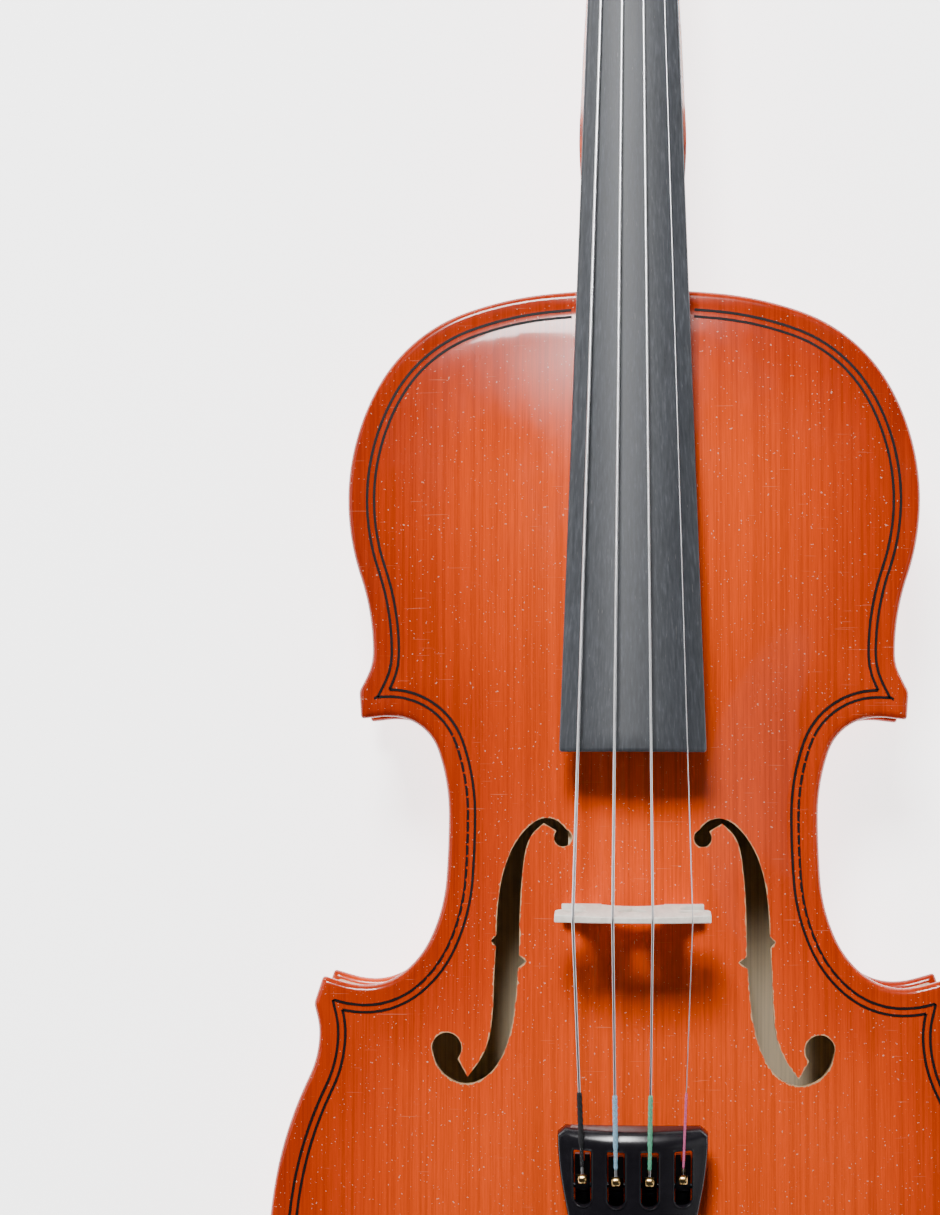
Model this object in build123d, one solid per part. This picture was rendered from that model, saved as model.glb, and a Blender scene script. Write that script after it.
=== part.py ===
"""Full-size violin, lying on its back: every plate, rib, block and fitting as its own solid.

Axes: +X to the treble side, +Y along the neck to the scroll, +Z up out of the top plate. The origin is
the middle of the whole length and width, on the surface that the violin lies on. Along the body, places
are given as v: the distance down from the edge of the body at the neck, towards the end button.
"""
from build123d import *
from math import atan, cos, hypot, pi, radians, sin, sqrt
import os

# Body outline
BODY_LENGTH = 355.0
UPPER_BOUT = 169.0
WAIST = 108.4
LOWER_BOUT = 213.6
CORNER_ROUNDING = 1.2

# Plates and ribs
PLATE_EDGE = 4.0
PLATE_THICKNESS = 3.0
BACK_RISE = 10.5
TOP_RISE = 11.5
ARCH_MARGIN = 5.0
OVERHANG = 2.8
RIB_THICKNESS = 1.1
RIB_HEIGHT = 31.0
LINING_WIDTH = 2.0
LINING_DEPTH = 8.0
GLUING_MARGIN = 1.5
UPPER_BLOCK = (50.0, 15.0)
END_BLOCK = (50.0, 15.0)
CORNER_BLOCK_REACH = 26.0
BASS_BAR = (270.0, 5.5, 12.0)
BASS_BAR_X = -16.0
POST_RADIUS = 3.0
POST_X = 20.0
POST_BEHIND_BRIDGE = 6.0

# Sound holes: the notch is the reference point of each hole
NOTCH_X = 36.2
NOTCH_V = 195.4
UPPER_EYE = (-15.9, -33.0, 2.6)
LOWER_EYE = (18.0, 28.3, 4.4)

# Neck, fingerboard and head
NECK_STOP = 130.0
HEAD_LENGTH = 107.0
OVERSTAND = 6.5
NECK_SLOPE = 0.117
NECK_DEPTH_NUT = 13.0
NECK_DEPTH_HEEL = 15.5
NECK_WIDTH_NUT = 24.0
NECK_WIDTH_BODY = 33.0
HEEL_START = 22.0
MORTISE = 6.0
BUTTON_WIDTH = 21.0
BUTTON_REACH = 13.0
HEEL_SECTIONS = ((0.0, 0.0), (0.35, 0.5), (0.75, 3.0), (1.0, 14.0))
HEEL_STEPS = 8
BOARD_LENGTH = 267.7
BOARD_END_WIDTH = 42.0
BOARD_EDGE = 5.0
BOARD_CROWN = 42.0
NUT_LENGTH = 5.5
NUT_ABOVE_BOARD = 0.5
NUT_FALL = 1.6
PEGBOX_WIDTH_NUT = 26.0
PEGBOX_WIDTH_SCROLL = 19.0
CHEEK = 5.0
CHEEK_LENGTH = 66.0
PEGBOX_FLOOR = 5.5
SCROLL_RADIUS = 20.0
SCROLL_SHOULDER = 34.0
SCROLL_STEPS = ((20.0, 8.0), (14.5, 12.5), (10.0, 16.5), (5.5, 20.5))

# Pegs: distance of each from the nut's front edge, side of its head, place of its string's winding
PEGS = {"g": (19.0, -1, -4.5), "e": (33.0, 1, 4.5), "d": (50.0, -1, -3.2), "a": (64.0, 1, 2.6)}
PEG_AXIS_BELOW_NUT = 11.0
PEG_AXIS_SLOPE = 0.22
PEG_RADIUS = 3.9
PEG_TAPER = 1 / 30
PEG_CLEARANCE = 0.05
PEG_COLLAR_GAP = 4.0
PEG_TIP = 1.5
PEG_STEM = ((0, 0), (0, 5.2), (2.4, 5.2), (3.4, 3.2), (6.0, 3.0), (8.0, 4.2), (8.0, 0))
PEG_THUMB = (9.5, 12.0, 3.4)
PEG_THUMB_ROUNDING = 2.6
PEG_THUMB_PLACE = 15.5
WINDING_TURNS = 5
WINDING_CLEARANCE = 0.1

# Strings: radius, then place across the nut, the bridge and the tailpiece, in spacings
STRING_RADIUS = {"g": 0.42, "d": 0.40, "a": 0.34, "e": 0.14}
STRING_RANK = {"g": -1.5, "d": -0.5, "a": 0.5, "e": 1.5}
NUT_SPACING = 5.45
BRIDGE_SPACING = 11.15
TUNER_SPACING = 9.5

# Bridge
BRIDGE_V = 183.5
BRIDGE_HEIGHT = 33.0
BRIDGE_FEET = 41.0
BRIDGE_WINGS = 44.0
BRIDGE_FOOT_THICKNESS = 4.5
BRIDGE_TOP_THICKNESS = 1.7
BRIDGE_CROWN = 42.0
BRIDGE_SIDE = ((-2.5, 15.0), (-6.8, 15.5), (-8.6, 13.0), (-7.4, 8.5), (-6.4, 5.2), (-2.5, 2.6), (-1.5, 1.6))
BRIDGE_ARCH = ((-11.5, 2.8), (-14.0, 6.2))
BRIDGE_ARCH_TOP = 7.6
BRIDGE_WING_LOW = 17.5
BRIDGE_EYE = (5.6, 17.0, 3.4)
HEART_LOBE = (1.9, 18.5, 2.2)
HEART_POINT = ((-4.0, 17.9), (4.0, 17.9), (0.0, 12.0))

# Tailpiece and its four tuners
TAILPIECE_V = 245.6
TAILPIECE_LENGTH = 106.0
TAILPIECE_WIDTH = 43.0
TAILPIECE_END_WIDTH = 22.0
TAILPIECE_SHELL = 2.2
TAILPIECE_SIDE = 9.5
TAILPIECE_END_SIDE = 6.0
TAILPIECE_CROWN = 50.0
TAILPIECE_BELOW_STRINGS = 1.0
TAILPIECE_SIDE_WALL = 1.4
WINDOW_WIDTH = 5.25
WINDOW = (5.2, 21.7)
AXLE_PLACE = (-17.0, -7.4)
AXLE_RADIUS = 0.75
LEVER_WIDTH = 4.2
LEVER_HUB = 2.0
LEVER_SLOT = 1.4
LEVER_ARM = 11.0
LEVER_NOSE = 1.2
LEVER_SLOT_DEPTH = 2.4
LEVER_ARM_THICKNESS = 1.5
LEVER_ARM_TAIL = 2.4
SCREW_RADIUS = 1.25
SCREW_HEAD = (3.4, 3.0)
SCREW_TIP = (0.4, 1.0)
SCREW_HEAD_GAP = 0.3
SCREW_TIP_GAP = 0.15
SCREW_TRAVEL = 2.5
RUNNING_FIT = 0.06
BALL = (1.5, 2.6)

# Tail gut, saddle and end button
GUT_RADIUS = 1.1
GUT_SPREAD = 4.5
GUT_DEPTH = 3.4
GUT_HOLD = 8.0
GUT_NUT = (1.9, 4.0)
GROOVE = 0.03
SADDLE = (36.0, 6.5, 4.5)
BUTTON_SHANK = 3.75
BUTTON_COLLAR = (6.0, 2.2)
BUTTON_NECK = (3.9, 3.6)
BUTTON_HEAD = (7.0, 6.0)
TOUCH = 0.1

# Levels and lengths worked out from the sizes above
BACK_INSIDE = BACK_RISE + PLATE_EDGE
TOP_INSIDE = BACK_INSIDE + RIB_HEIGHT
TOP_EDGE = TOP_INSIDE + PLATE_EDGE
BUTTON_STAND = BUTTON_COLLAR[1] + BUTTON_NECK[1] + BUTTON_HEAD[1] - OVERHANG
TOTAL_LENGTH = BUTTON_STAND + BODY_LENGTH + NECK_STOP + HEAD_LENGTH
BODY_EDGE_Y = TOTAL_LENGTH / 2 - HEAD_LENGTH - NECK_STOP
UPPER, HALF_WAIST, LOWER = UPPER_BOUT / 2, WAIST / 2, LOWER_BOUT / 2
UPPER_V, WAIST_V, LOWER_V = 0.176 * BODY_LENGTH, 0.4394 * BODY_LENGTH, 0.8085 * BODY_LENGTH
FAR = 200.0

# Stations of the right edge, neck end to tail end: x, v and the heading there, 0 to the right, 90 down
OUTLINE_RUNS = (
    ((0, 0, 0), (0.592 * UPPER, 0.0192 * BODY_LENGTH, 20), (UPPER, UPPER_V, 90),
     (0.910 * UPPER, 0.3056 * BODY_LENGTH, 90), (0.957 * UPPER, 0.3366 * BODY_LENGTH, 62)),
    ((0.950 * UPPER, 0.3597 * BODY_LENGTH, 185), (0.834 * UPPER, 0.3577 * BODY_LENGTH, 176),
     (HALF_WAIST, WAIST_V, 90), (1.096 * HALF_WAIST, 0.5408 * BODY_LENGTH, 65),
     (0.735 * LOWER, 0.58 * BODY_LENGTH, 0), (0.852 * LOWER, 0.5724 * BODY_LENGTH, -17)),
    ((0.8773 * LOWER, 0.5952 * BODY_LENGTH, 103), (0.8624 * LOWER, 0.6192 * BODY_LENGTH, 90),
     (0.939 * LOWER, 0.6915 * BODY_LENGTH, 71), (LOWER, LOWER_V, 90), (0, BODY_LENGTH, 180)),
)

# Edges of the right sound hole, from its notch: outer edge down, then inner edge back up
HOLE_OUTER_UPPER = ((-18.4, -33.0), (-13.8, -38.2), (-10.4, -38.7), (-5.2, -35.6), (0.9, -25.2),
                    (3.2, -13.0), (3.6, -4.6))
HOLE_OUTER_NICK = (5.2, -2.8)
HOLE_OUTER_LOWER = ((3.7, -1.2), (4.2, 9.6), (5.0, 22.3), (7.1, 29.6), (11.8, 36.4))
HOLE_LOWER_WING = (16.4, 32.5)
HOLE_INNER_LOWER = ((22.2, 29.2), (21.2, 32.6), (18.4, 36.2), (12.3, 38.5), (6.0, 36.0), (1.3, 29.5),
                    (-1.8, 17.6), (-2.9, 4.8))
HOLE_INNER_NICK = (-5.3, 2.9)
HOLE_INNER_UPPER = ((-3.2, 1.2), (-3.3, -10.6), (-4.3, -25.2), (-7.0, -34.1), (-10.3, -37.2))
HOLE_UPPER_WING = (-14.0, -35.0)


def spot(x, v, z=0.0):
    """A point of the model from its place along the body."""
    return Vector(x, BODY_EDGE_Y - v, z)


def cuboid(x, v, z):
    """A box from pairs of limits."""
    corner = spot(min(x), max(v), min(z))
    size = (abs(x[1] - x[0]), abs(v[1] - v[0]), abs(z[1] - z[0]))
    return Pos(*corner) * Box(*size, align=(Align.MIN, Align.MIN, Align.MIN))


def prism(face, low, high):
    """A flat plan, raised from one level to another."""
    return extrude(Pos(0, 0, low) * face, amount=high - low, dir=(0, 0, 1))


def strip(points, half_width):
    """A side view, as (v, z) points, thickened to both sides."""
    view = make_face(Polyline(*[spot(-half_width, v, z) for v, z in points], close=True))
    return extrude(view, amount=2 * half_width, dir=(1, 0, 0))


# ---- Outline ---------------------------------------------------------------------------------------

def arc(start, end, tangent):
    """An arc as start, end, centre and signed radius, which is positive when it curves inwards."""
    chord = (end[0] - start[0], end[1] - start[1])
    size = hypot(*tangent)
    normal = (-tangent[1] / size, tangent[0] / size)
    radius = (chord[0] ** 2 + chord[1] ** 2) / (2 * (chord[0] * normal[0] + chord[1] * normal[1]))
    return start, end, (start[0] + normal[0] * radius, start[1] + normal[1] * radius), radius


def two_arcs(first, last):
    """The pair of arcs that leaves one station on its heading and meets the next on its own."""
    p, q = first[:2], last[:2]
    a = (cos(radians(first[2])), sin(radians(first[2])))
    b = (cos(radians(last[2])), sin(radians(last[2])))
    v = (q[0] - p[0], q[1] - p[1])
    along = v[0] * (a[0] + b[0]) + v[1] * (a[1] + b[1])
    turn = 2 * (1 - a[0] * b[0] - a[1] * b[1])
    square = v[0] ** 2 + v[1] ** 2
    reach = square / (2 * along) if turn < 1e-9 else (sqrt(along ** 2 + turn * square) - along) / turn
    from_p = (p[0] + a[0] * reach, p[1] + a[1] * reach)
    from_q = (q[0] - b[0] * reach, q[1] - b[1] * reach)
    middle = ((from_p[0] + from_q[0]) / 2, (from_p[1] + from_q[1]) / 2)
    return [arc(p, middle, a), arc(middle, q, (from_q[0] - from_p[0], from_q[1] - from_p[1]))]


def inwards(point, centre, radius, inset):
    """A point of an arc, moved towards the inside of the outline."""
    share = (radius - inset) / radius
    return (centre[0] + (point[0] - centre[0]) * share, centre[1] + (point[1] - centre[1]) * share)


def trimmed(point, centre, radius, line_start, line_end):
    """Where an arc's circle meets a straight line, at the crossing nearest to the arc's own end."""
    dx, dy = line_end[0] - line_start[0], line_end[1] - line_start[1]
    fx, fy = line_start[0] - centre[0], line_start[1] - centre[1]
    a, b, c = dx * dx + dy * dy, fx * dx + fy * dy, fx * fx + fy * fy - radius * radius
    root = sqrt(b * b - a * c)
    crossings = [(line_start[0] + dx * t, line_start[1] + dy * t) for t in ((root - b) / a, (-root - b) / a)]
    return min(crossings, key=lambda c: hypot(c[0] - point[0], c[1] - point[1]))


def edge_runs(inset, corners):
    """The arcs of the right edge, moved inwards; without corners, each is cut off behind its block."""
    runs = []
    for number, stations in enumerate(OUTLINE_RUNS):
        kept = stations
        if not corners:
            kept = (stations[:-1], stations[1:-1], stations[1:])[number]
        arcs = [piece for pair in zip(kept, kept[1:]) for piece in two_arcs(*pair)]
        runs.append([[inwards(start, c, r, inset), inwards(end, c, r, inset), c, r - inset]
                     for start, end, c, r in arcs])
    for number in (0, 1):
        if inset and corners:
            a, b = OUTLINE_RUNS[number][-1][:2], OUTLINE_RUNS[number + 1][0][:2]
            size = hypot(b[0] - a[0], b[1] - a[1])
            shift = (-(b[1] - a[1]) / size * inset, (b[0] - a[0]) / size * inset)
            line = ((a[0] + shift[0], a[1] + shift[1]), (b[0] + shift[0], b[1] + shift[1]))
            last, following = runs[number][-1], runs[number + 1][0]
            last[1] = trimmed(last[1], last[2], last[3], *line)
            following[0] = trimmed(following[0], following[2], following[3], *line)
    return runs


def plan(inset=0.0, corners=True):
    """The flat outline of the body, moved inwards by an inset."""
    edges = []
    runs = edge_runs(inset, corners)
    for number, run in enumerate(runs):
        for start, end, centre, radius in run:
            tangent = ((centre[1] - start[1]) / radius, (centre[0] - start[0]) / radius)
            edges.append(TangentArc(spot(*start), spot(*end), tangent=tangent))
        if number < 2:
            edges.append(Line(spot(*run[-1][1]), spot(*runs[number + 1][0][0])))
    right = [edge.edge() for edge in edges]
    return Face(Wire(right + [edge.mirror(Plane.YZ) for edge in right]))


def corner_axis(number):
    """The middle of a corner's blunt end, and a point inside the body on the corner's own axis."""
    a, b = OUTLINE_RUNS[number][-1], OUTLINE_RUNS[number + 1][0]
    tip = ((a[0] + b[0]) / 2, (a[1] + b[1]) / 2)
    x = cos(radians(b[2])) - cos(radians(a[2]))
    v = sin(radians(b[2])) - sin(radians(a[2]))
    size = hypot(x, v)
    return tip, (tip[0] + x / size * CORNER_BLOCK_REACH, tip[1] + v / size * CORNER_BLOCK_REACH)


# ---- Arching ---------------------------------------------------------------------------------------

def arch_width(v):
    """Half the width over which the arch rises: full at the bouts, drawn in at the waist and ends."""
    upper, waist, lower = UPPER - ARCH_MARGIN, HALF_WAIST - ARCH_MARGIN, LOWER - ARCH_MARGIN
    v = min(max(v, 0.0), BODY_LENGTH)
    if v < UPPER_V:
        return upper * sqrt(1 - ((UPPER_V - v) / (UPPER_V + 2)) ** 2.6)
    if v < WAIST_V:
        return waist + (upper - waist) * (1 + cos(pi * (v - UPPER_V) / (WAIST_V - UPPER_V))) / 2
    if v < LOWER_V:
        return waist + (lower - waist) * (1 - cos(pi * (v - WAIST_V) / (LOWER_V - WAIST_V))) / 2
    return lower * sqrt(1 - ((v - LOWER_V) / (BODY_LENGTH + 2 - LOWER_V)) ** 2.6)


def arch(x, v):
    """Share of the full rise at a place: a flat-topped long arch times a rounded cross arch."""
    t = min(abs(2 * v / BODY_LENGTH - 1), 1.0)
    u = min(abs(x) / arch_width(v), 1.0)
    return (1 - t ** 4) ** 1.5 * (1 - u * u) ** 2 * (1 + u * u / 2)


def arch_space(level, rise, direction, columns=25, rows=37):
    """All the space on the inner side of an arched surface."""
    half = LOWER + 8
    grid = []
    for i in range(columns):
        x = -half + 2 * half * i / (columns - 1)
        places = [-8 + (BODY_LENGTH + 16) * j / (rows - 1) for j in range(rows)]
        grid.append([spot(x, v, level + rise * arch(x, v)) for v in places])
    surface = Face.make_surface_from_array_of_points(grid, tol=0.02, min_deg=3, max_deg=5)
    return extrude(surface, amount=FAR, dir=(0, 0, direction))


# ---- Sound box -------------------------------------------------------------------------------------

def sound_hole(side):
    """The cutter for one sound hole: its two eyes and the stem with its nicks."""
    def place(point):
        return spot(side * (NOTCH_X + point[0]), NOTCH_V + point[1])

    def bent(points):
        return Spline(*[place(p) for p in points]).edge()

    def straight(*points):
        return Polyline(*[place(p) for p in points]).edges()

    edges = [bent(HOLE_OUTER_UPPER), *straight(HOLE_OUTER_UPPER[-1], HOLE_OUTER_NICK, HOLE_OUTER_LOWER[0]),
             bent(HOLE_OUTER_LOWER), *straight(HOLE_OUTER_LOWER[-1], HOLE_LOWER_WING, HOLE_INNER_LOWER[0]),
             bent(HOLE_INNER_LOWER), *straight(HOLE_INNER_LOWER[-1], HOLE_INNER_NICK, HOLE_INNER_UPPER[0]),
             bent(HOLE_INNER_UPPER), *straight(HOLE_INNER_UPPER[-1], HOLE_UPPER_WING, HOLE_OUTER_UPPER[0])]
    cutter = prism(Face(Wire(edges)), BACK_INSIDE + RIB_HEIGHT / 2, FAR)
    for x, v, radius in (UPPER_EYE, LOWER_EYE):
        eye = place((x, v))
        cutter += prism(Pos(eye.X, eye.Y) * Circle(radius), BACK_INSIDE + RIB_HEIGHT / 2, FAR)
    return cutter


def block_plans():
    """Footprints of the six blocks inside the ribs."""
    inside = plan(OVERHANG + RIB_THICKNESS)
    wall = OVERHANG + RIB_THICKNESS
    upper = spot(0, (wall + UPPER_BLOCK[1]) / 2)
    end = spot(0, BODY_LENGTH - (wall + END_BLOCK[1]) / 2)
    upper_rect = Pos(upper.X, upper.Y) * Rectangle(UPPER_BLOCK[0], wall + UPPER_BLOCK[1])
    end_rect = Pos(end.X, end.Y) * Rectangle(END_BLOCK[0], wall + END_BLOCK[1])
    corners = []
    for number in (0, 1):
        tip = corner_axis(number)[0]
        for side in (-1, 1):
            place = spot(side * tip[0], tip[1])
            corners.append(inside & (Pos(place.X, place.Y) * Circle(CORNER_BLOCK_REACH)))
    return inside & upper_rect, inside & end_rect, corners


def neck_root():
    """The heel and its root, from the button up to the fingerboard's gluing plane."""
    sections = []
    top = neck_plane(-HEEL_START) + 1
    for rise, growth in HEEL_SECTIONS:
        level = top if rise == 1 else BACK_INSIDE + rise * RIB_HEIGHT
        share = (level - BACK_INSIDE) / (top - BACK_INSIDE)
        half = (BUTTON_WIDTH + (NECK_WIDTH_BODY - BUTTON_WIDTH) * share) / 2
        reach = BUTTON_REACH + growth
        back = Polyline(spot(-half, 0, level), spot(-half, MORTISE, level), spot(half, MORTISE, level),
                        spot(half, 0, level))
        turns = [pi * step / HEEL_STEPS for step in range(HEEL_STEPS + 1)]
        rounded = [spot(half * cos(turn), -reach * sin(turn), level) for turn in turns]
        front = Spline(*rounded, tangents=((0, 1, 0), (0, -1, 0)))
        sections.append(Face(Wire(back.edges() + front.edges())))
    return loft(sections)


def neck_plane(v):
    """Level of the fingerboard's gluing plane."""
    return TOP_EDGE + OVERSTAND + NECK_SLOPE * v


def saddle():
    """The block let into the edge of the top under the tail gut, rounded over at its outer edge."""
    width, depth, rise = SADDLE
    piece = cuboid((-width / 2, width / 2), (BODY_LENGTH - depth, BODY_LENGTH), (TOP_INSIDE, TOP_EDGE + rise))
    rounded = piece.edges().filter_by(Axis.X).sort_by(Axis.Z)[-2:]
    return fillet(rounded, radius=0.3 * depth)


def end_button():
    """Tapered shank, collar, neck for the gut and round head, turned about the length of the body."""
    shank = 0.8 * END_BLOCK[1]
    outer = BODY_LENGTH - OVERHANG
    profile = [(0, -shank), (BUTTON_SHANK - 0.3, -shank), (BUTTON_SHANK, 0), (BUTTON_COLLAR[0], 0)]
    collar, neck = BUTTON_COLLAR[1], BUTTON_COLLAR[1] + BUTTON_NECK[1]
    head = neck + BUTTON_HEAD[1]
    profile += [(BUTTON_COLLAR[0], collar), (BUTTON_NECK[0], collar), (BUTTON_NECK[0], neck),
                (BUTTON_HEAD[0], neck), (BUTTON_HEAD[0], head - 1.5), (BUTTON_HEAD[0] - 1.5, head), (0, head)]
    level = BACK_INSIDE + RIB_HEIGHT / 2
    view = make_face(Polyline(*[spot(r, outer + along, level) for r, along in profile], close=True))
    return revolve(view, Axis(spot(0, outer, level), (0, 1, 0)), 360)


def build_box():
    """Plates, ribs, linings, blocks, bass bar and sound post."""
    outline = plan()
    corner_points = [v for v in outline.vertices()
                     if any(abs(abs(v.X) - s[0]) < 0.01 and abs(v.Y - BODY_EDGE_Y + s[1]) < 0.01
                            for s in (OUTLINE_RUNS[0][-1], OUTLINE_RUNS[1][0], OUTLINE_RUNS[1][-1],
                                      OUTLINE_RUNS[2][0]))]
    rounded = fillet(corner_points, radius=CORNER_ROUNDING)
    upper_block, end_block, corner_blocks = block_plans()
    wall = OVERHANG + RIB_THICKNESS
    inner = plan(wall + LINING_WIDTH + GLUING_MARGIN, corners=False)
    cavity = prism(inner, -FAR, FAR)
    blocks = [prism(face, BACK_INSIDE, TOP_INSIDE) for face in (upper_block, end_block, *corner_blocks)]
    for face in (upper_block, end_block, *corner_blocks):
        cavity -= prism(face, -FAR, FAR)

    root, button = neck_root(), end_button()
    hollow_rise = PLATE_EDGE - PLATE_THICKNESS
    top_hollow = cavity & arch_space(TOP_INSIDE + hollow_rise, TOP_RISE, -1)
    back_hollow = cavity & arch_space(BACK_INSIDE - hollow_rise, -BACK_RISE, 1)
    top = prism(rounded, TOP_INSIDE, TOP_EDGE + TOP_RISE + 5) & arch_space(TOP_EDGE, TOP_RISE, -1)
    top = top - top_hollow - root - saddle()
    for side in (-1, 1):
        top -= sound_hole(side)
    back = prism(rounded, -5, BACK_INSIDE) & arch_space(BACK_RISE, -BACK_RISE, 1)
    half = BUTTON_WIDTH / 2
    tongue = Face(Wire(Polyline(spot(-half, 0), spot(-half, 3), spot(half, 3), spot(half, 0)).edges()
                       + ThreePointArc(spot(half, 0), spot(0, -BUTTON_REACH), spot(-half, 0)).edges()))
    back = back - back_hollow + prism(tongue, BACK_RISE, BACK_INSIDE)
    pieces = {"top_plate": top, "back_plate": back}

    ring = prism(plan(OVERHANG), BACK_INSIDE, TOP_INSIDE) - prism(plan(wall), 0, FAR) - root - button
    cuts = []
    for number in (0, 1):
        tip, inner_point = corner_axis(number)
        cuts.append([(0, inner_point[1]), inner_point, tip, (FAR, tip[1])])
    bands = {"upper": [(0, -20), (FAR, -20), *reversed(cuts[0])],
             "middle": [*cuts[0], *reversed(cuts[1])],
             "lower": [*cuts[1], (FAR, BODY_LENGTH + 20), (0, BODY_LENGTH + 20)]}
    for band, corners in bands.items():
        for name, side in (("left", -1), ("right", 1)):
            zone = Face(Wire(Polyline(*[spot(side * x, v) for x, v in corners], close=True).edges()))
            pieces[f"rib_{band}_{name}"] = ring & prism(zone, 0, FAR)

    lining_ring = (prism(plan(wall, corners=False), BACK_INSIDE, TOP_INSIDE)
                   - prism(plan(wall + LINING_WIDTH, corners=False), 0, FAR))
    for block in blocks:
        lining_ring -= block
    pieces["top_linings"] = lining_ring & prism(outline, TOP_INSIDE - LINING_DEPTH, TOP_INSIDE)
    pieces["back_linings"] = lining_ring & prism(outline, BACK_INSIDE, BACK_INSIDE + LINING_DEPTH)
    pieces["upper_block"] = blocks[0] - root
    pieces["end_block"] = blocks[1] - button
    pieces["corner_blocks"] = Compound([solid for block in blocks[2:] for solid in block.solids()])

    length, width, depth = BASS_BAR
    middle = BODY_LENGTH / 2
    taper = [(middle - length / 2, TOP_INSIDE + 4), (middle, TOP_INSIDE + TOP_RISE - depth),
             (middle + length / 2, TOP_INSIDE + 4), (middle + length / 2, TOP_INSIDE + TOP_RISE + 5),
             (middle - length / 2, TOP_INSIDE + TOP_RISE + 5)]
    inside_top = arch_space(TOP_INSIDE + hollow_rise, TOP_RISE, -1)
    pieces["bass_bar"] = (Pos(BASS_BAR_X, 0, 0) * strip(taper, width / 2)) & inside_top
    post = spot(POST_X, BRIDGE_V + POST_BEHIND_BRIDGE)
    column = prism(Pos(post.X, post.Y) * Circle(POST_RADIUS), 0, FAR)
    inside_back = arch_space(BACK_INSIDE - hollow_rise, -BACK_RISE, 1)
    pieces["sound_post"] = column & inside_top & inside_back
    pieces["saddle"] = saddle()
    pieces["end_button"] = button
    return pieces, root


# ---- Neck and head ---------------------------------------------------------------------------------

def half_round(v, width, depth):
    """The neck's section: flat on the gluing plane, half an ellipse below it."""
    level = neck_plane(v)
    plane = Plane(origin=spot(0, v, level), x_dir=(1, 0, 0), z_dir=(0, 1, 0))
    return plane * (Ellipse(width / 2, depth) & Pos(0, depth / 2) * Rectangle(width, depth))


def head_top(v):
    """Level of the cheeks' upper edges."""
    return neck_plane(-NECK_STOP) - 1.5 + 0.17 * (v + NECK_STOP + NUT_LENGTH)


def head_back(v):
    """Level of the back of the pegbox, from the chin under the nut to the foot of the scroll."""
    chin = -NECK_STOP
    foot = -(NECK_STOP + HEAD_LENGTH - SCROLL_RADIUS)
    t = (v - chin) / (foot - chin)
    start = neck_plane(chin) - NECK_DEPTH_NUT - 5
    return start * (1 - t) ** 1.3


def pegbox_width(v):
    """Width over both cheeks, narrowing towards the scroll."""
    t = (-NECK_STOP - v) / (HEAD_LENGTH - SCROLL_RADIUS)
    return PEGBOX_WIDTH_NUT + (PEGBOX_WIDTH_SCROLL - PEGBOX_WIDTH_NUT) * t


def peg_place(name):
    """Place of a peg's axis along the head, and its level."""
    v = -NECK_STOP - PEGS[name][0]
    return v, neck_plane(-NECK_STOP) - PEG_AXIS_BELOW_NUT - PEG_AXIS_SLOPE * (PEGS[name][0] - PEGS["g"][0])


def peg_radius(name, x):
    """Radius of a peg's taper at a place across the head, widest at its own head."""
    return PEG_RADIUS - PEG_TAPER / 2 * (pegbox_width(peg_place(name)[0]) / 2 - PEGS[name][1] * x)


def cone(name, low, high, extra=0.0):
    """A stretch of a peg's taper between two places across the head."""
    v, level = peg_place(name)
    view = [spot(low, v, level), spot(low, v, level + peg_radius(name, low) + extra),
            spot(high, v, level + peg_radius(name, high) + extra), spot(high, v, level)]
    return revolve(make_face(Polyline(*view, close=True)), Axis(spot(0, v, level), (1, 0, 0)), 360)


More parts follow.
